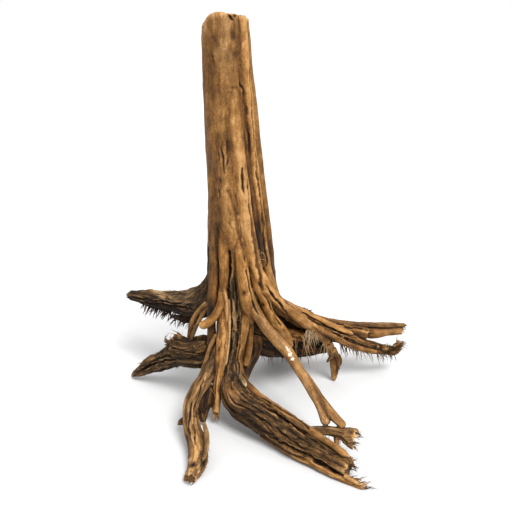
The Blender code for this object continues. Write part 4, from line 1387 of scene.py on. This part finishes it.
TUFTS: dict[str, Tuft] = {
    "pale_tuft": Tuft(
        (0.176, 0.034, 0.205), (0.192, 0.046, 0.192), (0.1, -0.6, -0.5), 26, 0.045, 0.0007, 0.02, 0.7, 0.6,
        0.6),
    "pale_tuft_low": Tuft(
        (0.196, 0.052, 0.188), (0.205, 0.062, 0.178), (0.2, -0.5, -0.6), 14, 0.030, 0.0006, 0.05, 0.6, 0.7,
        0.6),
    "rootlets": Tuft(
        (0.150, 0.020, 0.215), (0.180, 0.046, 0.190), (0.1, -0.3, -0.9), 7, 0.075, 0.0016, 0.30, 0.2, 0.35,
        0.5),
    "fork_hairs": Tuft(
        (0.225, 0.085, 0.150), (0.250, 0.108, 0.120), (0.2, -0.6, -0.6), 18, 0.030, 0.0007, 0.10, 0.5, 0.7,
        0.5),
    "fork_torn": Tuft(
        (0.266, 0.126, 0.090), (0.276, 0.132, 0.055), (0.5, -0.4, -0.5), 16, 0.020, 0.0016, 0.70, 0.2, 0.6,
        0.3),
    "band_hairs": Tuft(
        (0.200, 0.060, 0.205), (0.330, 0.125, 0.125), (0.3, -0.7, 0.1), 46, 0.024, 0.0008, 0.22, 0.3, 0.6,
        0.5),
    "frayed_under": Tuft(
        (0.270, 0.115, 0.125), (0.440, 0.168, 0.070), (0.5, -0.3, -0.8), 90, 0.026, 0.0012, 0.55, 0.2, 0.5,
        0.3),
    "frayed_tip": Tuft(
        (0.425, 0.165, 0.080), (0.462, 0.180, 0.100), (0.6, -0.4, 0.3), 50, 0.022, 0.0014, 0.60, 0.3, 0.8,
        0.3),
    "frayed_top": Tuft(
        (0.385, 0.160, 0.098), (0.430, 0.170, 0.095), (0.4, -0.4, 0.6), 26, 0.016, 0.0012, 0.60, 0.3, 0.8,
        0.3),
    "cut_end": Tuft(
        (0.470, 0.210, 0.138), (0.478, 0.216, 0.116), (0.8, -0.2, 0.1), 14, 0.010, 0.0010, 0.40, 0.2, 0.5,
        0.2),
    "knob_bits": Tuft(
        (0.160, 0.066, 0.248), (0.192, 0.084, 0.246), (0.2, -0.3, 0.8), 14, 0.010, 0.0014, 0.62, 0.0, 0.8,
        0.0),
    "hanging_end": Tuft(
        (-0.066, -0.106, 0.036), (-0.052, -0.104, 0.034), (0.0, -0.1, -1.0), 20, 0.020, 0.0013, 0.30, 0.2,
        0.4, 0.1),
    "hanging_edge": Tuft(
        (-0.040, -0.088, 0.200), (-0.056, -0.104, 0.070), (0.3, -0.5, -0.8), 26, 0.014, 0.0007, 0.10, 0.3,
        0.5, 0.4),
    "keel_tip": Tuft(
        (0.262, -0.364, 0.012), (0.284, -0.378, 0.006), (0.8, -0.4, 0.2), 26, 0.026, 0.0013, 0.45, 0.1, 0.5,
        0.2),
    "front_right_end": Tuft(
        (0.262, -0.350, 0.040), (0.268, -0.345, 0.014), (0.8, -0.5, 0.0), 30, 0.018, 0.0014, 0.60, 0.3, 0.6,
        0.3),
    "front_left_end": Tuft(
        (-0.118, -0.360, 0.018), (-0.098, -0.362, 0.012), (-0.1, -0.9, -0.1), 20, 0.014, 0.0014, 0.60, 0.2,
        0.6, 0.4),
    "twig_end": Tuft(
        (0.284, -0.286, 0.082), (0.284, -0.288, 0.052), (0.8, -0.3, 0.0), 34, 0.014, 0.0014, 0.55, 0.3, 0.7,
        0.2),
    "twig_hairs": Tuft(
        (0.205, -0.270, 0.070), (0.240, -0.280, 0.070), (0.0, -0.3, -0.9), 10, 0.022, 0.0008, 0.40, 0.2,
        0.5, 0.4),
    "left_edge": Tuft(
        (-0.100, 0.030, 0.228), (-0.280, 0.190, 0.212), (-0.5, -0.3, -0.7), 80, 0.022, 0.0019, 0.92, 0.1,
        0.45, 0.2),
    "left_flake_edge": Tuft(
        (-0.120, 0.050, 0.222), (-0.190, 0.095, 0.214), (-0.5, -0.4, -0.6), 24, 0.024, 0.0016, 0.92, 0.1,
        0.5, 0.2),
    "left_tip": Tuft(
        (-0.325, 0.250, 0.222), (-0.330, 0.256, 0.208), (-0.8, -0.2, 0.0), 16, 0.012, 0.0014, 0.80, 0.4,
        0.6, 0.2),
    "knob_splints": Tuft(
        (-0.150, 0.000, 0.184), (-0.196, 0.030, 0.160), (-0.4, -0.5, 0.5), 22, 0.018, 0.0016, 0.80, 0.4,
        0.6, 0.2),
    "hollow_speck": Tuft(
        (0.052, -0.030, 0.450), (0.060, -0.030, 0.425), (0.0, -0.8, -0.3), 8, 0.014, 0.0006, 0.02, 0.4, 0.8,
        0.4),
    "heel_hairs": Tuft(
        (-0.074, -0.100, 0.090), (-0.050, -0.090, 0.120), (0.1, -0.6, -0.6), 16, 0.018, 0.0008, 0.50, 0.3,
        0.7, 0.4),
    "back_end": Tuft(
        (0.165, 0.320, 0.024), (0.172, 0.326, 0.012), (0.5, 0.8, 0.0), 18, 0.016, 0.0014, 0.60, 0.2, 0.6,
        0.3),
    "under_hairs": Tuft(
        (0.060, 0.010, 0.130), (0.200, 0.090, 0.105), (0.2, -0.5, -0.8), 30, 0.020, 0.0010, 0.85, 0.1, 0.6,
        0.3),
}


class Nodes:
    """A node tree, and the one way in which nodes come into it."""

    def __init__(self, tree: bpy.types.NodeTree) -> None:
        """Hold the tree that the nodes go into."""
        self.tree = tree

    def link(self, value: "Wire | float | tuple", socket: bpy.types.NodeSocket) -> None:
        """Feed a socket with another socket's value or with a number.

        Args:
            value: what goes in.
            socket: the input that takes it.
        """
        if isinstance(value, Wire):
            self.tree.links.new(value.socket, socket)
        elif isinstance(value, tuple) and len(value) == 3 and socket.type == "RGBA":
            socket.default_value = (*value, 1.0)
        else:
            socket.default_value = value

    @staticmethod
    def find(sockets: Any, key: "str | int") -> bpy.types.NodeSocket:
        """A node's socket by place, identifier or name.

        Args:
            sockets: the node's inputs or outputs.
            key: which one.

        Returns:
            The socket.
        """
        if isinstance(key, int):
            return sockets[key]
        for socket in sockets:
            if socket.identifier == key:
                return socket
        return sockets[key]

    def add(self, kind: str, settings: dict[str, Any], inputs: dict[Any, Any],
            output: "str | int") -> "Wire":
        """Any node.

        Args:
            kind: the node's type.
            settings: its properties, or a ramp's stops, which are set first.
            inputs: its sockets' values or links.
            output: which of its results is wanted.

        Returns:
            That result.
        """
        node = self.tree.nodes.new(kind)
        for name, value in settings.items():
            if name == "stops":
                ramp = node.color_ramp.elements
                while len(ramp) < len(value):
                    ramp.new(1.0)
                for stop, (position, colour) in zip(ramp, value):
                    stop.position = position
                    stop.color = (*colour, 1.0)
            else:
                setattr(node, name, value)
        for key, value in inputs.items():
            self.link(value, self.find(node.inputs, key))
        return Wire(self, self.find(node.outputs, output))

    def again(self, wire: "Wire", output: str) -> "Wire":
        """Another result of the node that a value comes from."""
        return Wire(self, self.find(wire.socket.node.outputs, output))


class Wire:
    """A node's value that can be added, multiplied and so on."""

    def __init__(self, nodes: Nodes, socket: bpy.types.NodeSocket) -> None:
        """Hold a socket of a node tree."""
        self.nodes, self.socket = nodes, socket

    def _sum(self, operation: str, first: "Wire | float", second: "Wire | float") -> "Wire":
        """One Math node."""
        return self.nodes.add("ShaderNodeMath", {"operation": operation}, {0: first, 1: second}, 0)

    def __add__(self, other: "Wire | float") -> "Wire":
        """self + other."""
        return self._sum("ADD", self, other)

    def __radd__(self, other: "Wire | float") -> "Wire":
        """other + self."""
        return self._sum("ADD", other, self)

    def __sub__(self, other: "Wire | float") -> "Wire":
        """self - other."""
        return self._sum("SUBTRACT", self, other)

    def __rsub__(self, other: "Wire | float") -> "Wire":
        """other - self."""
        return self._sum("SUBTRACT", other, self)

    def __mul__(self, other: "Wire | float") -> "Wire":
        """self * other."""
        return self._sum("MULTIPLY", self, other)

    def __rmul__(self, other: "Wire | float") -> "Wire":
        """other * self."""
        return self._sum("MULTIPLY", other, self)

    def __pow__(self, other: "Wire | float") -> "Wire":
        """self to the power of other."""
        return self._sum("POWER", self, other)

    def clamp(self) -> "Wire":
        """self, held between 0 and 1."""
        return self.nodes.add("ShaderNodeClamp", {}, {"Value": self}, 0)


class Grower(Nodes):
    """A geometry node tree with named inputs, which ends in plain mesh of one material."""

    def __init__(self, name: str, numbers: dict[str, float], seed: int) -> None:
        """Start the tree.

        Args:
            name: the tree's name.
            numbers: its sizes and their values.
            seed: what picks its random values.
        """
        super().__init__(bpy.data.node_groups.new(name, "GeometryNodeTree"))
        face = self.tree.interface
        face.new_socket("Geometry", in_out="INPUT", socket_type="NodeSocketGeometry")
        for key in numbers:
            face.new_socket(key, in_out="INPUT", socket_type="NodeSocketFloat")
        face.new_socket("Seed", in_out="INPUT", socket_type="NodeSocketInt")
        face.new_socket("Geometry", in_out="OUTPUT", socket_type="NodeSocketGeometry")
        self.values = {**numbers, "Seed": seed}
        self.inlet = self.tree.nodes.new("NodeGroupInput")

    def given(self, name: str) -> Wire:
        """One of the tree's own inputs."""
        return Wire(self, self.inlet.outputs[name])

    def stored(self, name: str, kind: str) -> Wire:
        """What the points carry under a name."""
        return self.add("GeometryNodeInputNamedAttribute", {"data_type": kind}, {"Name": name}, "Attribute")

    def store(self, geometry: Wire, name: str, kind: str, value: Any) -> Wire:
        """Write an attribute that the finish reads."""
        return self.add("GeometryNodeStoreNamedAttribute", {"data_type": kind, "domain": "POINT"},
                        {"Geometry": geometry, "Name": name, "Value": value}, "Geometry")

    def grow(self, name: str, seeds: bpy.types.Mesh, shape: Wire,
             wood: bpy.types.Material) -> bpy.types.Object:
        """Finish the tree, run it on a mesh of seeds and keep the result as a plain mesh.

        Args:
            name: the piece's name.
            seeds: what the tree starts from.
            shape: the geometry that it ends in.
            wood: the finish.

        Returns:
            The piece, in the frame's place and inside the solid's box.
        """
        shape = self.add("GeometryNodeSetShadeSmooth", {}, {"Geometry": shape}, "Geometry")
        shape = self.add("GeometryNodeRealizeInstances", {}, {"Geometry": shape}, "Geometry")
        shape = self.add("GeometryNodeSetMaterial", {}, {"Geometry": shape, "Material": wood}, "Geometry")
        self.link(shape, self.tree.nodes.new("NodeGroupOutput").inputs["Geometry"])
        obj = bpy.data.objects.new(name, seeds)
        bpy.context.scene.collection.objects.link(obj)
        modifier = obj.modifiers.new("grow", "NODES")
        modifier.node_group = self.tree
        for item in self.tree.interface.items_tree:
            if item.in_out == "INPUT" and item.name in self.values:
                modifier[item.identifier] = self.values[item.name]
        mesh = evaluated(obj)
        obj.modifiers.remove(modifier)
        obj.data = mesh
        places = read(mesh.vertices, "co", 3).astype(float) + TRUNK_AXIS
        places = np.clip(places, np.array(SOLID_BOX[0]), np.array(SOLID_BOX[1]))
        mesh.vertices.foreach_set("co", places.astype(np.float32).ravel())
        mesh.update()
        mesh.calc_loop_triangles()
        log.info("%s: %d triangles", name, len(mesh.loop_triangles))
        return obj


@dataclass
class LooseFibres:
    """Hairs, rootlets and torn fibres at the root's ends, edges and forks."""

    sides: float = 4.0
    points: float = 8.0
    waviness: float = 0.0032
    curl_size: float = 0.011
    legs: int = 5

    def guides(self, skin: RootSkin) -> bpy.types.Mesh:
        """A sagging line for each fibre, starting just inside the skin.

        Args:
            skin: the finished skin.

        Returns:
            A mesh of edges that carries each fibre's tone and width.
        """
        random = np.random.default_rng(SEED)
        lines, tones, widths = [], [], []
        for tuft in TUFTS.values():
            for share in random.random(tuft.count):
                foot = np.array(tuft.begin) * (1.0 - share) + np.array(tuft.end) * share
                foot = foot + random.normal(0.0, 0.003, 3)
                at = ((skin.places - foot) ** 2).sum(1).argmin()
                way = np.array(tuft.heading) + tuft.spread * random.normal(0.0, 0.6, 3)
                way = way / np.linalg.norm(way) + 0.35 * skin.normals[at]
                length = tuft.length * (0.35 + 0.65 * random.random())
                along = np.linspace(0.0, 1.0, self.legs + 1)[:, None]
                line = skin.places[at] - 0.0012 * skin.normals[at] + way * length * along
                line[:, 2] -= tuft.droop * length * along[:, 0] ** 2
                line[:, 2] = np.maximum(line[:, 2], 0.0015)
                lines.append(line)
                tones.append((tuft.age + random.normal(0.0, 0.10), tuft.grey, 0.5, 0.0))
                widths.append(tuft.width * (0.7 + 0.6 * random.random()))
        places = np.vstack(lines)
        mesh = bpy.data.meshes.new("guides")
        first = np.arange(len(places)).reshape(len(lines), -1)
        edges = np.stack((first[:, :-1], first[:, 1:]), axis=-1).reshape(-1, 2)
        mesh.from_pydata(places.tolist(), edges.tolist(), [])
        mesh.attributes.new("tone", "FLOAT_COLOR", "POINT").data.foreach_set(
            "color", np.clip(np.repeat(tones, self.legs + 1, axis=0), 0.0, 1.0).astype(np.float32).ravel())
        mesh.attributes.new("width", "FLOAT", "POINT").data.foreach_set(
            "value", np.repeat(widths, self.legs + 1).astype(np.float32))
        return mesh

    def build(self, skin: RootSkin, wood: bpy.types.Material) -> bpy.types.Object:
        """The fibres as one piece.

        Args:
            skin: the finished skin.
            wood: the finish.

        Returns:
            The piece.
        """
        tree = Grower("loose_fibres", {"Sides": self.sides, "Points": self.points,
                                       "Waviness": self.waviness, "Curl size": self.curl_size}, SEED)
        curve = tree.add("GeometryNodeMeshToCurve", {}, {"Mesh": tree.given("Geometry")}, "Curve")
        curve = tree.add("GeometryNodeResampleCurve", {}, {"Curve": curve, "Count": tree.given("Points")},
                         "Curve")
        along = tree.add("GeometryNodeSplineParameter", {}, {}, "Factor")
        walked = tree.again(along, "Length")
        place = tree.add("GeometryNodeInputPosition", {}, {}, "Position")
        scale = tree.add("ShaderNodeMath", {"operation": "DIVIDE"}, {0: 1.0, 1: tree.given("Curl size")}, 0)
        noise = tree.add("ShaderNodeTexNoise", {"noise_dimensions": "4D"},
                         {"Vector": place, "W": tree.given("Seed") * 1.0, "Scale": scale, "Detail": 1.0},
                         "Color")
        drift = tree.add("ShaderNodeVectorMath", {"operation": "SUBTRACT"}, {0: noise, 1: (0.5, 0.5, 0.5)},
                         "Vector")
        reach = tree.given("Waviness") * along * 4.0
        drift = tree.add("ShaderNodeVectorMath", {"operation": "SCALE"}, {0: drift, "Scale": reach},
                         "Vector")
        curve = tree.add("GeometryNodeSetPosition", {}, {"Geometry": curve, "Offset": drift}, "Geometry")
        grain = tree.add("ShaderNodeCombineXYZ", {}, {"X": tree.stored("width", "FLOAT") * 40.0,
                                                      "Z": walked}, "Vector")
        curve = tree.store(curve, "grain", "FLOAT_VECTOR", grain)
        curve = tree.store(curve, "hollow", "FLOAT_COLOR", (0.5, 0.5, 0.5, 0.0))
        taper = (1.0 - along * 0.96) ** 0.6
        radius = tree.stored("width", "FLOAT") * taper
        rim = tree.add("GeometryNodeCurvePrimitiveCircle", {},
                       {"Resolution": tree.given("Sides"), "Radius": 1.0}, "Curve")
        links = {"Curve": curve, "Profile Curve": rim, "Scale": radius, "Fill Caps": True}
        shape = tree.add("GeometryNodeCurveToMesh", {}, links, "Mesh")
        return tree.grow("loose_fibres", self.guides(skin), shape, wood)


@dataclass
class Splinters:
    """Thin splinters and flakes of bark that lift along the grain of the rough wood."""

    count: int = 2200
    longest: float = 0.030
    broadest: float = 0.0042
    thickest: float = 0.0016
    lift: float = 0.16
    curl: float = 0.9

    def seeds(self, skin: RootSkin) -> bpy.types.Mesh:
        """A point for each splinter, with its directions, size and tone.

        Args:
            skin: the finished skin.

        Returns:
            A mesh of points.
        """
        random = np.random.default_rng(SEED + 1)
        rough = np.array([look.rough for look in skin.looks])[skin.owners]
        chance = np.clip(rough - 0.45, 0.0, 1.0) * (skin.places[:, 2] > 0.012)
        at = random.choice(len(chance), self.count, replace=False, p=chance / chance.sum())
        out, owners = skin.normals[at], skin.owners[at]
        way = np.empty_like(out)
        for number, (owner, walked) in enumerate(zip(owners, skin.walks[at])):
            trace = skin.traces[owner]
            way[number] = trace.ahead[min(int(walked / trace.arc[1]), len(trace.arc) - 1)]
        way -= out * (way * out).sum(1)[:, None]
        way /= np.linalg.norm(way, axis=1)[:, None] + 1e-9
        way += random.normal(0.0, 0.10, way.shape) + out * self.lift
        way /= np.linalg.norm(way, axis=1)[:, None]
        size = random.random((self.count, 3)) ** 1.6
        size = (0.25 + 0.75 * size) * np.array((self.broadest, self.thickest, self.longest))
        places = skin.places[at] - out * 0.0010
        ages = np.array([look.age for look in skin.looks])[owners].mean(1)
        greys = np.array([look.grey for look in skin.looks])[owners]
        tone = np.column_stack((ages + random.normal(-0.02, 0.13, self.count), greys,
                                np.full(self.count, 0.6), np.zeros(self.count)))
        mesh = bpy.data.meshes.new("seeds")
        mesh.from_pydata(places.tolist(), [], [])
        for name, values in (("way", way), ("out", out), ("size", size)):
            mesh.attributes.new(name, "FLOAT_VECTOR", "POINT").data.foreach_set(
                "vector", values.astype(np.float32).ravel())
        mesh.attributes.new("tone", "FLOAT_COLOR", "POINT").data.foreach_set(
            "color", np.clip(tone, 0.0, 1.0).astype(np.float32).ravel())
        return mesh

    def build(self, skin: RootSkin, wood: bpy.types.Material) -> bpy.types.Object:
        """The splinters as one piece.

        Args:
            skin: the finished skin.
            wood: the finish.

        Returns:
            The piece.
        """
        tree = Grower("splinters", {"Curl": self.curl}, SEED)
        blade = tree.add("GeometryNodeMeshCone", {},
                         {"Vertices": 5, "Side Segments": 3, "Radius Top": 0.0, "Radius Bottom": 0.5,
                          "Depth": 1.0}, "Mesh")
        place = tree.add("GeometryNodeInputPosition", {}, {}, "Position")
        high = tree.add("ShaderNodeSeparateXYZ", {}, {"Vector": place}, "Z")
        bend = tree.add("ShaderNodeCombineXYZ", {}, {"Y": high * high * tree.given("Curl")}, "Vector")
        blade = tree.add("GeometryNodeSetPosition", {}, {"Geometry": blade, "Offset": bend}, "Geometry")
        grain = tree.add("ShaderNodeVectorMath", {"operation": "MULTIPLY"},
                         {0: place, 1: (0.006, 0.006, 0.020)}, "Vector")
        blade = tree.store(blade, "grain", "FLOAT_VECTOR", grain)
        blade = tree.store(blade, "hollow", "FLOAT_COLOR", (0.5, 0.5, 0.5, 0.0))
        turn = tree.add("FunctionNodeAlignRotationToVector", {"axis": "Z"},
                        {"Vector": tree.stored("way", "FLOAT_VECTOR")}, "Rotation")
        turn = tree.add("FunctionNodeAlignRotationToVector", {"axis": "Y", "pivot_axis": "Z"},
                        {"Rotation": turn, "Vector": tree.stored("out", "FLOAT_VECTOR")}, "Rotation")
        roll = tree.add("FunctionNodeRandomValue", {"data_type": "FLOAT"},
                        {"Min_001": -0.5, "Max_001": 0.5, "Seed": tree.given("Seed")}, "Value_001")
        roll = tree.add("ShaderNodeCombineXYZ", {}, {"Z": roll}, "Vector")
        turn = tree.add("FunctionNodeRotateRotation", {"rotation_space": "LOCAL"},
                        {"Rotation": turn, "Rotate By": roll}, "Rotation")
        shape = tree.add("GeometryNodeInstanceOnPoints", {},
                         {"Points": tree.given("Geometry"), "Instance": blade, "Rotation": turn,
                          "Scale": tree.stored("size", "FLOAT_VECTOR")}, "Instances")
        return tree.grow("splinters", self.seeds(skin), shape, wood)


Stops = tuple[tuple[float, tuple[float, float, float]], ...]


@dataclass(frozen=True)
class WoodFinish:
    """Dry wood whose fibres follow the grain that the skin stores.

    The stops run with age, from scraped and fresh to nearly black: golden wood, ruddy wood in
    random flushes and, as painted warm shade, in the folds, and wood that weather has turned grey.
    """

    golden: Stops = (
        (0.00, (0.360, 0.190, 0.066)), (0.16, (0.235, 0.110, 0.029)), (0.36, (0.132, 0.056, 0.0120)),
        (0.58, (0.062, 0.0250, 0.0055)), (0.80, (0.024, 0.0100, 0.0030)), (1.00, (0.008, 0.0036, 0.0016)))
    ruddy: Stops = (
        (0.00, (0.280, 0.130, 0.042)), (0.20, (0.175, 0.068, 0.016)), (0.42, (0.090, 0.031, 0.0068)),
        (0.64, (0.038, 0.0125, 0.0030)), (0.84, (0.015, 0.0052, 0.0016)), (1.00, (0.006, 0.0024, 0.0011)))
    weathered: Stops = (
        (0.00, (0.380, 0.290, 0.185)), (0.20, (0.215, 0.150, 0.078)), (0.42, (0.122, 0.080, 0.037)),
        (0.62, (0.058, 0.037, 0.0165)), (0.82, (0.021, 0.0133, 0.0062)), (1.00, (0.008, 0.0050, 0.0026)))
    peeled: tuple[float, float, float] = (0.520, 0.440, 0.350)
    peels: tuple[tuple[float, float, float, float], ...] = (
        (0.045, -0.108, 0.231, 0.0070), (0.049, -0.113, 0.224, 0.0085), (0.054, -0.118, 0.216, 0.0080),
        (0.058, -0.124, 0.208, 0.0060), (0.146, -0.240, 0.110, 0.0020))
    # colour of the painted shade in grooves, pits, hollows and cracks
    crevice_shade: tuple[float, float, float] = (0.0115, 0.0052, 0.0027)
    end_grain: tuple[float, float, float] = (0.170, 0.105, 0.054)
    end_rings: tuple[float, float, float] = (0.060, 0.031, 0.013)
    streak_width: float = 0.0075
    fibre_width: float = 0.0030
    hair_width: float = 0.0011
    specular: float = 0.14
    bump_strength: float = 0.85
    bump_depth: float = 0.0016
    ring_turns: float = 2600.0      # sine of the end grain's rings, in radians a metre

    def material(self) -> bpy.types.Material:
        """The finish as a material.

        Returns:
            The material, for every piece of the root.
        """
        bench = Bench("dry_wood")
        grain = bench.add("ShaderNodeAttribute", {"attribute_name": "grain"}, {}, "Vector")
        tone = bench.add("ShaderNodeAttribute", {"attribute_name": "tone"}, {}, "Color")
        ends = bench.again(tone, "Alpha")
        age = bench.add("ShaderNodeSeparateColor", {}, {"Color": tone}, "Red")
        grey, rough = bench.again(age, "Green"), bench.again(age, "Blue")
        hollow = bench.add("ShaderNodeAttribute", {"attribute_name": "hollow"}, {}, "Color")
        # crack_shade: painted shade of the carved cracks
        crack_shade = bench.again(hollow, "Alpha")
        small = bench.add("ShaderNodeSeparateColor", {}, {"Color": hollow}, "Red")
        large, wide = bench.again(small, "Green"), bench.again(small, "Blue")
        place = bench.add("ShaderNodeTexCoord", {}, {}, "Object")
        streak = bench.fibres(grain, self.streak_width, 0.17, 3.0)
        fibre = bench.fibres(grain, self.fibre_width, 0.050, 3.0)
        hair = bench.fibres(grain, self.hair_width, 0.020, 2.0)
        mottle = bench.fibres(grain, 0.011, 0.022, 4.0)
        speck = bench.fibres(grain, 0.0026, 0.0050, 2.0)
        blotch = bench.noise(place, 21.0, 3.0)
        flush = bench.noise(place, 34.0, 2.0)
        wear = rough * rough * 0.75 + 0.12
        shade = age + (streak - 0.5) * 0.95 * wear + (fibre - 0.5) * 0.85 * wear
        shade = shade + (hair - 0.5) * 0.40 * wear + (blotch - 0.5) * 0.50
        shade = shade + (mottle - 0.5) * 0.62 + (speck - 0.5) * 0.50
        # concave places get darker here: painted shade
        shade = shade + (small - 0.5) * 0.30 + (large - 0.5) * 0.45 + (wide - 0.5) * 0.45
        # warmth: ruddy tone in random flushes, and painted warm shade in large and wide hollows
        warmth = ((flush - 0.52) * 4.0 + (large - 0.5) * 2.0 + (wide - 0.5) * 2.2).clamp()
        colour = bench.mix(warmth * 0.75, bench.ramp(shade, self.golden), bench.ramp(shade, self.ruddy))
        bleach = (grey * 1.15 + grey * ((streak - 0.5) * 2.6 + (fibre - 0.5) * 1.6)).clamp()
        colour = bench.mix(bleach, colour, bench.ramp(shade, self.weathered))
        # painted shade: bump grooves, pits, concave hollows and cracks are darkened towards crevice_shade
        grooves = ((0.44 - fibre) * 7.0).clamp() * rough * 0.38
        pits = ((0.30 - speck) * 9.0).clamp() * 0.70
        depth = ((large - 0.66) * 2.4).clamp() * 0.7 + ((small - 0.70) * 2.0).clamp() * 0.4
        depth = depth + ((wide - 0.70) * 2.4).clamp() * 0.7
        painted_shade_share = (depth + grooves + pits + crack_shade * 1.05).clamp()
        colour = bench.mix(painted_shade_share, colour, self.crevice_shade)
        colour = bench.mix(ends * 0.85, colour, self.end_colour(bench, grain, speck))
        for x, y, z, reach in self.peels:
            gap = bench.add("ShaderNodeVectorMath", {"operation": "DISTANCE"}, {0: place, 1: (x, y, z)},
                            "Value")
            ragged = (mottle - 0.5) * reach * 2.2 + (speck - 0.5) * reach * 1.6
            bare = ((reach * 0.85 + ragged - gap) * 900.0).clamp()
            colour = bench.mix(bare * (0.95 - pits), colour, self.peeled)
        bench.link(colour, bench.surface.inputs["Base Color"])
        dull = 0.46 + rough * 0.30 + (fibre - 0.5) * 0.30 + grey * 0.15 + painted_shade_share * 0.2
        bench.link(dull.clamp(), bench.surface.inputs["Roughness"])
        height = streak * 0.9 * wear + fibre * 1.1 * wear + hair * 0.5 * wear - grooves * 0.7
        height = height - pits * 0.35 + mottle * 0.30 + speck * 0.22
        bump = bench.add("ShaderNodeBump", {}, {"Height": height, "Strength": self.bump_strength,
                                              "Distance": self.bump_depth}, "Normal")
        bench.link(bump, bench.surface.inputs["Normal"])
        bench.surface.inputs["Specular IOR Level"].default_value = self.specular
        return bench.material

    def end_colour(self, bench: "Bench", grain: "Wire", speck: "Wire") -> "Wire":
        """Colour of sawn and torn ends, with faint rings and pores.

        Args:
            bench: the material's node tree.
            grain: the stored place along and across the strand.
            speck: the finest noise.

        Returns:
            The colour.
        """
        length = bench.add("ShaderNodeVectorMath", {"operation": "LENGTH"}, {0: grain}, "Value")
        turn = length * self.ring_turns + speck * 9.0
        rings = bench.add("ShaderNodeMath", {"operation": "SINE"}, {0: turn}, 0)
        share = (rings * 0.22 + 0.35 + (0.5 - speck) * 0.9).clamp()
        return bench.mix(share, self.end_grain, self.end_rings)


class Bench(Nodes):
    """A new material's node tree, and the few ways in which it is filled."""

    def __init__(self, name: str) -> None:
        """Start a material with a plain surface.

        Args:
            name: the material's name.
        """
        self.material = bpy.data.materials.new(name)
        self.material.use_nodes = True
        super().__init__(self.material.node_tree)
        self.surface = self.tree.nodes["Principled BSDF"]

    def mix(self, share: "Wire | float", first: Any, second: Any) -> Wire:
        """One colour turning into another as share goes from 0 to 1."""
        return self.add("ShaderNodeMix", {"data_type": "RGBA"},
                        {"Factor_Float": share, "A_Color": first, "B_Color": second}, "Result_Color")

    def ramp(self, shade: Wire, stops: Stops) -> Wire:
        """The colour that a shade has on a scale."""
        return self.add("ShaderNodeValToRGB", {"stops": stops}, {"Fac": shade}, "Color")

    def noise(self, place: Wire, scale: float, detail: float) -> Wire:
        """Even noise around 0.5."""
        return self.add("ShaderNodeTexNoise", {}, {"Vector": place, "Scale": scale, "Detail": detail}, "Fac")

    def fibres(self, grain: Wire, width: float, length: float, detail: float) -> Wire:
        """Noise drawn out along the grain.

        Args:
            grain: the stored place along and across the strand.
            width: size of a fleck across the grain.
            length: its size along the grain.
            detail: octaves of the noise.

        Returns:
            Values around 0.5.
        """
        scaled = self.add("ShaderNodeVectorMath", {"operation": "MULTIPLY"},
                          {0: grain, 1: (1.0 / width, 1.0 / width, 1.0 / length)}, "Vector")
        return self.add("ShaderNodeTexNoise", {}, {"Vector": scaled, "Scale": 1.0, "Detail": detail}, "Fac")


@dataclass
class Studio:
    """The pale floor, the soft light and the camera at the photo's angle."""

    camera_place: tuple[float, float, float] = (-0.0305, -1.7695, 1.0)
    camera_pitch: float = 72.1
    lens: float = 52.4
    floor_size: float = 400.0

    def build(self) -> None:
        """Set all of it up."""
        scene = bpy.context.scene
        scene.view_settings.view_transform = "Standard"
        eye = bpy.data.cameras.new("camera")
        eye.lens = self.lens
        eye.sensor_width = 36.0
        eye.sensor_fit = "HORIZONTAL"
        camera = bpy.data.objects.new("camera", eye)
        camera.location = self.camera_place
        camera.rotation_euler = Euler((math.radians(self.camera_pitch), 0.0, 0.0))
        scene.collection.objects.link(camera)
        scene.camera = camera
        half = self.floor_size / 2.0
        mesh = mesh_from("floor", np.array(((-half, -half, 0.0), (half, -half, 0.0),
                                            (half, half, 0.0), (-half, half, 0.0))),
                         np.array(((0, 1, 2, 3),)))
        floor = bpy.data.objects.new("floor", mesh)
        scene.collection.objects.link(floor)
        paper = Bench("paper")
        paper.surface.inputs["Base Color"].default_value = (0.47, 0.47, 0.47, 1.0)
        paper.surface.inputs["Roughness"].default_value = 0.9
        paper.surface.inputs["Specular IOR Level"].default_value = 0.1
        mesh.materials.append(paper.material)
        self.light("key", 5.0, 24.0, (40.0, 0.0, 24.0))
        self.light("top", 0.8, 70.0, (4.0, 0.0, 0.0))
        world = bpy.data.worlds.new("studio")
        scene.world = world
        world.use_nodes = True
        back = world.node_tree.nodes["Background"]
        back.inputs["Color"].default_value = (1.0, 1.0, 1.0, 1.0)
        back.inputs["Strength"].default_value = 1.0

    def light(self, name: str, power: float, softness: float, turn: tuple[float, float, float]) -> None:
        """A broad soft light from far away.

        Args:
            name: the light's name.
            power: its strength.
            softness: how wide it looks, in degrees.
            turn: its rotation, in degrees.
        """
        lamp = bpy.data.lights.new(name, "SUN")
        lamp.energy = power
        lamp.angle = math.radians(softness)
        obj = bpy.data.objects.new(name, lamp)
        obj.rotation_euler = Euler([math.radians(value) for value in turn])
        bpy.context.scene.collection.objects.link(obj)


def main() -> None:
    """Build every piece and put it on its body."""
    logging.basicConfig(level=logging.INFO, format="%(name)s: %(message)s")
    Studio().build()
    wood = WoodFinish().material()
    root = RootSkin()
    skin = root.build()
    skin.data.materials.clear()
    skin.data.materials.append(wood)
    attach(skin, "root")
    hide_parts("root_wood")
    for piece in (LooseFibres().build(root, wood), Splinters().build(root, wood)):
        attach(piece, "root")


if __name__ == "__main__":
    main()
